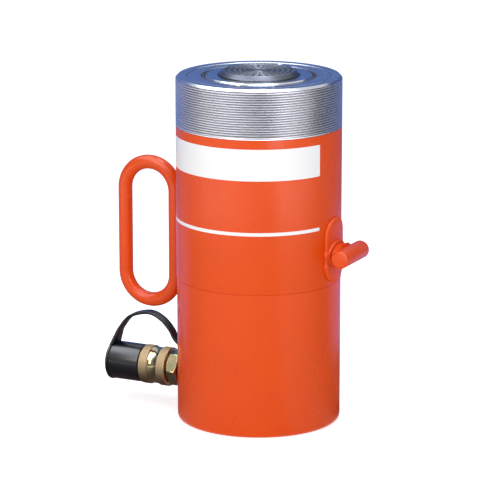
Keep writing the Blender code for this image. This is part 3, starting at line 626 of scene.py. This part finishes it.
# A weld bead is a round section carried along its path and drawn in at both ends. Its radius
# swells with each ripple of the electrode: r = radius + ripple * sin(2 pi * distance / pitch).
def makeBead(name, path, radius, across):
    step = np.linalg.norm(np.diff(path, axis=0), axis=1)
    distance = np.concatenate([[0], np.cumsum(step)])
    swell = 1 + welds["ripple"] / radius * np.sin(fullTurn * distance / welds["ripplePitch"])
    ends = np.minimum(distance, distance[-1] - distance) / (welds["taper"] * radius)
    swell = swell * np.sqrt(np.clip(ends, welds["tip"], 1))
    section = circle(radius, welds["sides"])[None] * swell[:, None, None]
    grid = sweptGrid(path, section, across)
    return gridPiece(name, grid, wrapColumns=True, caps=True, sharp=welds["sharp"])


# A bead that closes on itself: at each point its section lies in the plane of "side" and "outward".
def makeRingBead(name, path, side, outward, radius, swell):
    section = circle(radius, welds["sides"])[None] * swell[:, None, None]
    grid = path[:, None] + section[..., :1] * side[:, None] + section[..., 1:] * outward[:, None]
    return gridPiece(name, grid, wrapRows=True, wrapColumns=True, sharp=welds["sharp"])


# The bead round a pad has whole ripples, and the bar's pad has two lumps at each side.
def makePadWeld(name, facing):
    inset = welds["padInset"]
    outline = roundedOutline(pads["width"] - inset, pads["height"] - inset, pads["corner"] - inset / 2,
                             welds["padSteps"])
    path = rollOn(outline, welds["padAt"], facing)
    angle = outline[:, 0] / pads["outer"]
    along = np.roll(path, -1, axis=0) - np.roll(path, 1, axis=0)
    along /= np.linalg.norm(along, axis=1)[:, None]
    outward = np.stack([facing * np.cos(angle), np.sin(angle), np.zeros_like(angle)], axis=1)
    step = np.linalg.norm(np.roll(path, -1, axis=0) - path, axis=1).mean()
    ripples = round(len(path) * step / welds["ripplePitch"])
    swell = 1 + welds["padRipple"] * np.sin(fullTurn * ripples * np.arange(len(path)) / len(path))
    if facing > 0:
        for drop in welds["lumps"]:
            away = (path[:, 2] - pads["centre"] + drop) / welds["lumpWidth"]
            swell += welds["lumpSwell"] * np.exp(-away ** 2)
    return makeRingBead(name, path, np.cross(along, outward), outward, welds["radius"], swell)


# The loop's centre line is straights joined by four quarter turns, in the plane y = 0.
def makeHandle():
    outline = roundedOutline(loop["outer"] - loop["inner"], loop["high"] - loop["low"], loop["corner"],
                             loop["path"])
    x = -(loop["inner"] + loop["outer"]) / 2 + outline[:, 0]
    z = (loop["low"] + loop["high"]) / 2 + outline[:, 1]
    path = np.stack([x, np.zeros_like(x), z], axis=1)
    grid = sweptGrid(path, circle(loop["bar"], loop["sides"]), (0, 1, 0), closed=True)
    return gridPiece("loopHandle", grid, wrapRows=True, wrapColumns=True, sharp=loop["sharp"])


def makeHandleWeld(name, side):
    z = np.linspace(pads["centre"] - loop["weldReach"], pads["centre"] + loop["weldReach"], loop["weldSteps"])
    x = np.full_like(z, -(pads["outer"] + loop["weldOut"]))
    path = np.stack([x, np.full_like(z, side * loop["weldSide"]), z], axis=1)
    return makeBead(name, path, loop["weldRadius"], (0, 1, 0))


def makeCrossBar():
    half = crossBar["length"] / 2
    radius, edge, rounded = (crossBar[key] for key in ("radius", "edge", "edgeRound"))
    profile = roundedProfile([
        (0, -half), (radius - edge, -half, rounded), (radius, -half + edge, rounded),
        (radius, half - edge, rounded), (radius - edge, half, rounded), (0, half),
    ], steps=3)
    grid = turnedGrid(profile, crossBar["steps"])
    turned = np.stack([grid[..., 0] + crossBar["x"], grid[..., 2], grid[..., 1] + crossBar["z"]], axis=-1)
    return gridPiece("crossBar", turned, wrapColumns=True, sharp=30)


# The stem is a flattened spool. It narrows to a waist and flares where the welds run out.
def makeStem():
    share = np.linspace(0, 1, stem["rows"])
    angle = anglesRound(crossBar["steps"])
    ends = np.where(share < 0.5, stem["root"], stem["tip"])
    radius = (stem["waist"] + (ends - stem["waist"]) * (2 * share - 1) ** 4)[:, None]
    x = stem["start"] + share[:, None] * (stem["end"] - stem["start"])
    z = crossBar["z"] + stem["flatness"] * radius * np.sin(angle)
    grid = np.stack(np.broadcast_arrays(x, radius * np.cos(angle), z), axis=-1)
    return gridPiece("barStem", grid, wrapColumns=True, caps=True, sharp=50)


# A weld round the stem: its path is the stem's own oval, and falls back with the pad's curve
# by y^2 / 2r.
def makeStemWeld(name):
    angle = anglesRound(stem["weldSteps"])
    radius = stem["weldOval"]
    y = radius * np.cos(angle)
    path = np.stack([pads["outer"] + stem["weldAt"] - y ** 2 / (2 * pads["outer"]), y,
                     crossBar["z"] + stem["flatness"] * radius * np.sin(angle)], axis=1)
    ripples = round(fullTurn * radius / welds["ripplePitch"])
    swell = 1 + stem["ripple"] * np.sin(angle * ripples)
    swell += stem["wave"] * np.sin(stem["waves"] * angle + stem["waveStart"])
    outward = np.stack([np.zeros_like(angle), np.cos(angle), np.sin(angle)], axis=1)
    side = np.broadcast_to(np.array([1.0, 0, 0]), path.shape)
    return makeRingBead(name, path, side, outward, stem["weldRadius"], swell)


# Short beads fix the bar on the stem, along the bar's top and its underside.
def makeBarBead(name, turn):
    y = np.linspace(-crossBar["beadReach"], crossBar["beadReach"], crossBar["beadSteps"])
    reach = crossBar["radius"] - crossBar["beadSink"]
    path = np.stack([np.full_like(y, crossBar["x"] - reach * math.sin(turn)), y,
                     np.full_like(y, crossBar["z"] + reach * math.cos(turn))], axis=1)
    return makeBead(name, path, crossBar["beadRadius"], (math.cos(turn), 0, math.sin(turn)))


def paint(piece, *nodes):
    dress(piece, enamel, "housing", *nodes, slot="orange_fittings")


for name, facing, node in (("handlePad", -1, "handle_pad"), ("barPad", 1, "bar_pad")):
    paint(makePad(name, facing), node)
    paint(makePadWeld(name + "Weld", facing))
paint(makeHandle(), "carry_handle")
for name, side in (("handleWeldFront", -1), ("handleWeldBack", 1)):
    paint(makeHandleWeld(name, side))
paint(makeCrossBar(), "grab_bar")
paint(makeStem(), "bar_stem")
paint(makeStemWeld("stemWeldPad"))
for name, turn in (("barBeadTop", crossBar["beadTurn"]), ("barBeadLow", math.pi - crossBar["beadTurn"])):
    paint(makeBarBead(name, turn))
print("handle and grab bar made")


# Coupler, cap and strap. Their lengths are distances out from the ram's axis.

coupler = millimetres(
    thread=8.3, threadEnd=60.9, threadEdge=0.5, hexStart=76.1, hexEnd=86.9, acrossFlats=28.8,
    coneInset=0.6, coneOver=0.8, cone=2.0, barrel=13.0, barrelEnd=114.7, barrelEdge=0.5, passage=3.5,
    chamber=7.5, chamberStart=95.7, spigotBore=10.3, spigotStart=108.7, gap=0.3, noseRadius=12.5,
    noseRound=0.4, noseEnd=139.7, noseEndRound=0.9, socket=9.0, socketStart=123.7, socketBevel=0.8,
    bevelDepth=1.2, sealCentre=133.2, sealHalf=1.5, sealGroove=10.7,
) | {
    "coneRows": 9, "steps": 288, "noseSteps": 96, "sharp": 25,
}
sleeve = millimetres(
    start=87.2, end=114.4, inner=13.3, outer=17.75, band=8.8, groove=1.15, shoulder=0.8, edge=0.8,
    edgeExtra=0.2, knurlStop=0.4, shoulderAt=0.1, grooveAt=0.2, knurl=0.42,
) | {
    "ridges": 76, "knurlRows": 44, "steps": 456, "sharp": 60,
}
cap = millimetres(
    start=115.0, end=147.7, radius=17.2, flare=0.1, rim=17.9, disc=2.3, bore=12.9, boreRound=1.0,
    mouthIn=0.5, mouthOut=0.6, roof=140.3, lineStart=1.1, lineAt=0.4, lineDepth=0.7, lineRound=0.2,
    rimAt=0.3, rimRound=0.3, endRound=0.8,
) | {
    "steps": 128,
}
strap = {
    "start": (74.35, 11.53), "end": (146.3, 15.1), "rise": 48.8, "foot": 0.116,
    "shares": ((-0.91, 0.447), (-0.745, 0.57), (-0.60, 0.745), (-0.35, 0.915), (0.0, 1.0),
               (0.50, 0.895), (0.80, 0.645), (0.90, 0.49)),
    "width": 9.0, "flare": 10.0, "flareRate": 3.2, "flareFrom": 2.2, "thickness": 2.8 * mm,
    "corner": 0.9 * mm, "count": 150, "sharp": 50, "ringIn": 8.6 * mm, "ringOut": 13.0 * mm,
    "ringStart": 73.2 * mm, "ringEnd": 75.5 * mm, "inRound": 0.4 * mm, "outRound": 0.6 * mm,
}


# The hexagon's radius at an angle is half the width across flats over the cosine of the angle
# from the nearest flat's middle, and its end edges are cut back by a cone.
def makeCouplerBody():
    angle = anglesRound(coupler["steps"])
    sixth = fullTurn / 6
    fromFlat = (angle + sixth / 2) % sixth - sixth / 2
    halfFlats = 0.5 * coupler["acrossFlats"]
    corner = coupler["acrossFlats"] / math.sqrt(3)
    rows = []
    def addRow(radius, out):
        rows.append(polar(radius, angle, out))
    thread, barrel, edge = coupler["thread"], coupler["barrel"], coupler["barrelEdge"]
    addRow(coupler["passage"], coupler["threadEnd"])
    addRow(thread - coupler["threadEdge"], coupler["threadEnd"])
    addRow(thread, coupler["threadEnd"] + coupler["threadEdge"])
    addRow(thread, coupler["hexStart"])
    shares = np.linspace(0, 1, coupler["coneRows"])
    for direction, start in ((1, coupler["hexStart"]), (-1, coupler["hexEnd"])):
        for share in shares[::direction]:
            limit = halfFlats - coupler["coneInset"] + share * (corner + coupler["coneOver"] - halfFlats)
            reach = np.minimum(halfFlats / np.cos(fromFlat), limit)
            addRow(reach, start + direction * share * coupler["cone"])
    addRow(barrel, coupler["hexEnd"])
    addRow(barrel, coupler["barrelEnd"] - edge)
    addRow(barrel - edge, coupler["barrelEnd"])
    addRow(coupler["spigotBore"], coupler["barrelEnd"])
    addRow(coupler["spigotBore"], coupler["spigotStart"])
    addRow(coupler["chamber"], coupler["spigotStart"])
    addRow(coupler["chamber"], coupler["chamberStart"])
    addRow(coupler["passage"], coupler["chamberStart"])
    return gridPiece("hexBody", alongCoupler(np.array(rows)), wrapRows=True, wrapColumns=True,
                     sharp=coupler["sharp"])


def makeNose():
    gap, end, socket, seal = coupler["gap"], coupler["noseEnd"], coupler["socket"], coupler["sealGroove"]
    first, low, spigot = coupler["spigotStart"] + gap, coupler["barrelEnd"] + gap, coupler["spigotBore"] - gap
    sealEnd = coupler["sealCentre"] + coupler["sealHalf"]
    sealStart = coupler["sealCentre"] - coupler["sealHalf"]
    return turnedPiece("socketNose", [
        (coupler["chamber"], first), (spigot, first, gap), (spigot, low),
        (coupler["noseRadius"], low, coupler["noseRound"]),
        (coupler["noseRadius"], end, coupler["noseEndRound"]),
        (socket + coupler["socketBevel"], end, gap), (socket, end - coupler["bevelDepth"]),
        (socket, sealEnd), (seal, sealEnd), (seal, sealStart), (socket, sealStart),
        (socket, coupler["socketStart"]), (coupler["chamber"], coupler["socketStart"]),
    ], coupler["noseSteps"], outward=True)


# The sleeve's two end bands carry a diamond knurl: the surface drops between two crossing
# families of ridges, depth = knurl * (1 - |cos(a)| * |cos(b)|), a and b = ridges * angle / 2 +- u.
def makeSleeve():
    start, end, band, edge = (sleeve[key] for key in ("start", "end", "band", "edge"))
    inner, outer, ridges = sleeve["inner"], sleeve["outer"], sleeve["ridges"]
    low, shoulder = outer - sleeve["groove"], outer - sleeve["shoulder"]
    bevel = outer - edge - sleeve["edgeExtra"]
    angle = anglesRound(sleeve["steps"])
    rows = []
    def plain(radius, out):
        rows.append(polar(radius, angle, out))
    def knurled(first, last):
        spacing = fullTurn * outer / ridges
        for out in np.linspace(first, last, sleeve["knurlRows"]):
            a = 0.5 * ridges * angle + math.pi * out / spacing
            b = 0.5 * ridges * angle - math.pi * out / spacing
            plain(outer - sleeve["knurl"] * (1 - np.abs(np.cos(a)) * np.abs(np.cos(b))), out)
    plain(inner, start)
    plain(bevel, start)
    knurled(start + edge, start + band - sleeve["knurlStop"])
    plain(shoulder, start + band - sleeve["shoulderAt"])
    plain(low, start + band + sleeve["grooveAt"])
    plain(low, end - band - sleeve["grooveAt"])
    plain(shoulder, end - band + sleeve["shoulderAt"])
    knurled(end - band + sleeve["knurlStop"], end - edge)
    plain(bevel, end)
    plain(inner, end)
    return gridPiece("knurledSleeve", alongCoupler(np.array(rows)), wrapRows=True, wrapColumns=True,
                     sharp=sleeve["sharp"])


def makeCap():
    radius, start, end, rim = cap["radius"], cap["start"], cap["end"], cap["rim"]
    disc = end - cap["disc"]
    return turnedPiece("dustCapShell", [
        (0, cap["roof"]), (cap["bore"], cap["roof"], cap["boreRound"]),
        (cap["bore"], start, cap["mouthIn"]), (radius, start, cap["mouthOut"]),
        (radius + cap["flare"], disc - cap["lineStart"], cap["rimRound"]),
        (radius - cap["lineDepth"], disc - cap["lineAt"], cap["lineRound"]),
        (rim, disc + cap["rimAt"], cap["rimRound"]), (rim, end, cap["endRound"]), (0, end),
    ], cap["steps"], closed=False, outward=True)


# Catmull-Rom: between points b and c, with a before and d after,
# p(t) = b + t (c - a) / 2 + t^2 (2a - 5b + 4c - d) / 2 + t^3 (3b - 3c + d - a) / 2.
def smoothCurve(points, count):
    padded = np.vstack([2 * points[0] - points[1], points, 2 * points[-1] - points[-2]])
    where = np.linspace(0, len(points) - 1 - 1e-9, count)
    i = where.astype(int)
    t = (where - i)[:, None]
    a, b, c, d = padded[i], padded[i + 1], padded[i + 2], padded[i + 3]
    bend, twist = 2 * a - 5 * b + 4 * c - d, 3 * b - 3 * c + d - a
    return b + t * (c - a) / 2 + t ** 2 * bend / 2 + t ** 3 * twist / 2


# The strap's points are shares of half its span and of its rise, as in the solid.
# It widens towards the cap: width + flare * (3.2 share - 2.2)^2 over the last third.
def makeStrap():
    start, end = np.array(strap["start"]), np.array(strap["end"])
    crown = (start[0] + end[0]) / 2
    points = [start, start + (0, strap["foot"] * strap["rise"])]
    points += [(crown + out * (end[0] - crown), up * strap["rise"]) for out, up in strap["shares"]]
    line = smoothCurve(np.array(points + [end]), strap["count"]) * mm
    path = np.stack([-line[:, 0], np.zeros(len(line)), portHeight + line[:, 1]], axis=1)
    share = np.linspace(0, 1, len(path))
    widen = np.clip(strap["flareRate"] * share - strap["flareFrom"], 0, 1) ** 2
    width = (strap["width"] + strap["flare"] * widen) * mm
    size = np.stack([width, np.full(len(path), strap["thickness"])], axis=1)[:, None]
    corner = np.minimum(strap["corner"], size / 2.2)
    bend = roundedOutline(2.0, 2.0, 0.999, 28)
    core = np.sign(bend) * (np.abs(bend) > 1e-6)
    section = core[None] * (size / 2 - corner) + bend[None] * corner
    return gridPiece("capStrap", sweptGrid(path, section, (0, 1, 0)), wrapColumns=True, caps=True,
                     sharp=strap["sharp"])


def makeStrapRing():
    return turnedPiece("strapRing", [
        (strap["ringIn"], strap["ringStart"], strap["inRound"]),
        (strap["ringOut"], strap["ringStart"], strap["outRound"]),
        (strap["ringOut"], strap["ringEnd"], strap["outRound"]),
        (strap["ringIn"], strap["ringEnd"], strap["inRound"]),
    ], coupler["noseSteps"], outward=True)


dress(makeCouplerBody(), smoothZinc, "housing", "coupler_body", slot="zinc_coupler")
dress(makeNose(), smoothZinc, "housing", "coupler_nose", slot="zinc_coupler")
sleevePiece = dress(makeSleeve(), knurledZinc, "sleeve", "coupler_sleeve", slot="zinc_coupler")
sleevePiece.data.materials.append(smoothZinc)
for face in sleevePiece.data.polygons:
    reach = -face.center.x - sleeve["start"]
    reach = min(reach, sleeve["end"] - sleeve["start"] - reach)
    face.material_index = 0 if sleeve["edge"] < reach < sleeve["band"] else 1
dress(makeCap(), capRubber, "cap", "dust_cap", slot="cap_rubber")
dress(makeStrapRing(), capRubber, "housing", "cap_strap", slot="cap_rubber")
strapPiece = makeStrap()
strapPiece.data.materials.append(capRubber)
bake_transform(strapPiece)
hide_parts("cap_strap")
print("coupler, cap and strap made")


# Bare label film

label = {
    "radius": 72.95 * mm, "film": 0.06 * mm, "sunk": 0.02 * mm, "right": -18.0, "left": -216.0,
    "bands": (("labelBand", 229.6, 257.2), ("labelStripe", 181.3, 184.3)), "corner": 1.0,
    "cornerShare": 0.4, "steps": 480, "closed": 0.001, "sharp": 60,
}


# A band is a thin strip rolled round the body between two angles, its corners rounded.
def makeBand(name, low, high):
    start, end = math.radians(label["left"]), math.radians(label["right"])
    radius = label["radius"]
    corner = min(label["corner"], label["cornerShare"] * (high - low)) * mm
    outline = roundedOutline(radius * (end - start), (high - low) * mm, corner, label["steps"])
    under, over = radius - label["sunk"], radius + label["film"]
    rings = []
    for share, r in ((label["closed"], under), (1.0, under), (1.0, over), (label["closed"], over)):
        points = outline * np.array([1.0, share])
        angle = (start + end) / 2 + points[:, 0] / radius
        rings.append(polar(r, angle, 0.5 * (low + high) * mm + points[:, 1]))
    return gridPiece(name, np.array(rings), wrapRows=True, wrapColumns=True, sharp=label["sharp"])


for name, low, high in label["bands"]:
    dress(makeBand(name, low, high), whiteFilm, "housing")
print("label made")


# Finishes on the CAD pieces that stay

finishes = {
    "rod_bearing": bronze, "piston_bearing": bronze, "packing_backup_ring": bronze,
    "piston_packing": sealRubber, "socket_seal": sealRubber, "saddle_retaining_ring": sealRubber,
    "packing_retainer": darkSteel, "spring_anchor_lower": darkSteel, "spring_anchor_upper": darkSteel,
    "spring_anchor_lower_screw": darkSteel, "spring_anchor_upper_screw": darkSteel,
    "return_spring": darkSteel, "check_spring": faceSteel, "check_seat": faceSteel,
    "check_ball": chromedSteel,
}
for name, material in finishes.items():
    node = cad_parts[name]
    node.data.materials.clear()
    node.data.materials.append(material)
print("inner pieces finished")


# Floor, light and camera

floor = {"size": 6.0, "drop": 0.0002, "colour": "#F4F4F4", "roughness": 0.9, "glow": 0.55}
room = {"colour": (0.80, 0.84, 0.92, 1), "strength": 0.55, "seen": (1, 1, 1, 1)}
view = {"azimuth": 26.0, "distance": 2.433, "height": 0.7495, "aim": 0.1516, "side": 0.0078, "lens": 203.8,
        "sensor": 36.0, "clipEnd": 50}


# One for a camera, mirror or glass ray, which sees the white surroundings, and zero for others.
def seeingRays(tree):
    path = addNode(tree, "LightPath").outputs
    seen = addNode(tree, "Math", {"operation": "MAXIMUM"}, None,
                   {0: path["Is Camera Ray"], 1: path["Is Glossy Ray"]})
    return addNode(tree, "Math", {"operation": "MAXIMUM"}, None,
                   {0: seen.outputs[0], 1: path["Is Transmission Ray"]}).outputs[0]


# The floor is a pale matt sheet. A camera or mirror ray also gets a little light from it,
# so that it reads as white, and the object's shadow still shows.
def makeFloor():
    bpy.ops.mesh.primitive_plane_add(size=floor["size"], location=(0, 0, -floor["drop"]))
    sheet = bpy.context.object
    sheet.name = "floorSheet"
    values = {"Roughness": floor["roughness"], "Emission Color": (1, 1, 1, 1)}
    material, tree, shader, place = startMaterial("paleFloor", floor["colour"], values)
    strength = addNode(tree, "Math", {"operation": "MULTIPLY"}, {1: floor["glow"]},
                       {0: seeingRays(tree)})
    tree.links.new(strength.outputs[0], shader.inputs["Emission Strength"])
    sheet.data.materials.append(material)


def makeWorld():
    world = bpy.data.worlds.new("softRoom")
    bpy.context.scene.world = world
    world.use_nodes = True
    tree = world.node_tree
    tree.nodes.clear()
    soft = addNode(tree, "Background", None, {"Color": room["colour"], "Strength": room["strength"]})
    white = addNode(tree, "Background", None, {"Color": room["seen"], "Strength": 1.0})
    mixed = addNode(tree, "MixShader", None, None,
                    {0: seeingRays(tree), 1: soft.outputs[0], 2: white.outputs[0]})
    addNode(tree, "OutputWorld", None, None, {"Surface": mixed.outputs[0]})


# Studio paper bent round the cylinder: degrees to the camera's right, and the paper's tone there.
# It is pale with a grey fold in front, and goes over to deep blue behind. Each ring is a radius, a
# height, and which tone it takes. A bright sheet is arched overhead, and another hangs high at left.
paper = {
    "tones": ((-68, (2.40, 2.40, 2.48)), (-40, (2.50, 2.46, 2.54)), (-14, (1.60, 1.58, 1.66)),
              (5, (0.62, 0.63, 0.68)), (21, (0.38, 0.38, 0.43)), (31, (3.40, 3.32, 3.38)),
              (58, (2.50, 2.52, 2.58)), (84, (0.45, 0.47, 0.53)), (115, (0.11, 0.15, 0.28)),
              (150, (0.09, 0.15, 0.38)), (190, (0.11, 0.20, 0.50)), (225, (0.22, 0.28, 0.58)),
              (250, (0.30, 0.33, 0.48)), (270, (1.00, 1.00, 1.05)), (292, (2.40, 2.40, 2.48))),
    "rings": ((0.0745, 0.0004, "shade"), (0.20, 0.0004, "shade"), (0.30, 0.0004, "violet"),
              (0.75, 0.0004, "violet"), (0.95, 0.0004, "bright"), (2.9, 0.0004, "bright"),
              (2.9, 0.08, "wall"), (2.9, 2.2, "wall")),
    "shade": (0.16, 0.10, 0.10), "violet": (0.45, 0.37, 0.80), "behind": (100, 260), "blend": 15,
    "near": 0.16, "steps": 180, "sheetSteps": 9,
}
roof = {"reach": 2.2, "degrees": (42.0, 84.0), "half": 1.9, "steps": 24, "tone": (3.8, 3.9, 4.2)}
side = {"across": (-2.0, -0.65), "out": (-0.9, 0.5), "height": 2.2, "tone": (5.0, 5.2, 5.7)}


# A sheet that only mirror rays meet, so it tints the metal and the gloss and lights nothing.
def makeSheet(name, grid, tones):
    card = gridPiece(name, grid, merge=False)
    layer = card.data.color_attributes.new("tone", "FLOAT_COLOR", "POINT")
    tones = np.concatenate([tones, np.ones(tones.shape[:2] + (1,))], axis=2)
    layer.data.foreach_set("color", tones.reshape(-1).astype(np.float32))
    material = bpy.data.materials.new(name + "Tone")
    material.use_nodes = True
    tree = material.node_tree
    tree.nodes.clear()
    tone = addNode(tree, "VertexColor", {"layer_name": "tone"}).outputs["Color"]
    glow = addNode(tree, "Emission", None, {"Strength": 1.0}, {"Color": tone})
    addNode(tree, "OutputMaterial", None, None, {"Surface": glow.outputs[0]})
    card.data.materials.append(material)
    card.visible_camera = card.visible_diffuse = card.visible_shadow = card.visible_transmission = False


# Points given as across, out towards the camera, and up.
def facingCamera(across, out, up):
    turn = math.radians(view["azimuth"])
    return np.stack([out * math.sin(turn) + across * math.cos(turn),
                     -out * math.cos(turn) + across * math.sin(turn), up], axis=-1)


# The paper runs out along the floor and then stands up as a wall. The table gives its tone by
# angle. It is dimmer near by, all along the wall, and behind the cylinder, where the near floor
# takes the shade and violet tones and the far paper its own.
def makePaper():
    stops = [stop for stop, tone in paper["tones"]]
    degrees = np.linspace(stops[0], stops[-1], paper["steps"])
    angle = math.radians(view["azimuth"] - 90) + np.radians(degrees)
    around = np.stack([np.interp(degrees, stops, [tone[k] for stop, tone in paper["tones"]])
                       for k in range(3)], axis=1)
    first, last = paper["behind"]
    behind = np.clip(np.minimum(degrees - first, last - degrees) / paper["blend"], 0, 1)[:, None]
    grid = np.array([polar(radius, angle, height) for radius, height, kind in paper["rings"]])
    tones = []
    for radius, height, kind in paper["rings"]:
        front = around if kind == "bright" else paper["near"] * around
        own = np.broadcast_to(paper.get(kind, around), around.shape)
        tones.append(front + behind * (own - front))
    makeSheet("studioPaper", grid, np.array(tones))
    across, up = np.meshgrid(np.linspace(-roof["half"], roof["half"], paper["sheetSteps"]),
                             np.radians(np.linspace(*roof["degrees"], roof["steps"])))
    grid = facingCamera(across, roof["reach"] * np.cos(up), roof["reach"] * np.sin(up))
    makeSheet("overheadPaper", grid, np.broadcast_to(roof["tone"], grid.shape))
    across, out = np.meshgrid(np.linspace(*side["across"], paper["sheetSteps"]),
                              np.linspace(*side["out"], paper["sheetSteps"]))
    grid = facingCamera(across, out, np.full_like(out, side["height"]))
    makeSheet("sidePaper", grid, np.broadcast_to(side["tone"], grid.shape))


# Each lamp: place, size, watts and colour. All of them point at the middle of the body.
lamps = (
    ("keySoftbox", (-0.55, -2.3, 1.55), (1.1, 1.4), 25.0, "#FFF8F0"),
    ("fillSoftbox", (1.9, -1.7, 0.9), (1.0, 1.6), 20.0, "#FFFFFF"),
    ("topSoftbox", (0.1, 0.2, 2.4), (0.9, 0.9), 18.0, "#F4F6FF"),
)
lampTarget = Vector((0, 0, 0.16))


def makeLamps():
    for name, place, size, power, colour in lamps:
        data = bpy.data.lights.new(name, "AREA")
        data.shape = "RECTANGLE"
        data.size, data.size_y = size
        data.energy = power
        data.color = toLinear(colour)[:3]
        lamp = addToScene(name, data)
        lamp.location = place
        lamp.rotation_euler = (lampTarget - Vector(place)).to_track_quat("-Z", "Y").to_euler()
        lamp.visible_camera = False


def makeCamera():
    data = bpy.data.cameras.new("view")
    data.lens = view["lens"]
    data.sensor_width = view["sensor"]
    data.clip_end = view["clipEnd"]
    camera = addToScene("view", data)
    camera.location = facingCamera(0, view["distance"], view["height"])
    target = Vector(facingCamera(-view["side"], 0, view["aim"]))
    camera.rotation_euler = (target - camera.location).to_track_quat("-Z", "Y").to_euler()
    bpy.context.scene.camera = camera


makeFloor()
makeWorld()
makeLamps()
makePaper()
makeCamera()
bpy.context.scene.view_settings.view_transform = "Standard"
print("stage made")

bpy.context.view_layer.update()
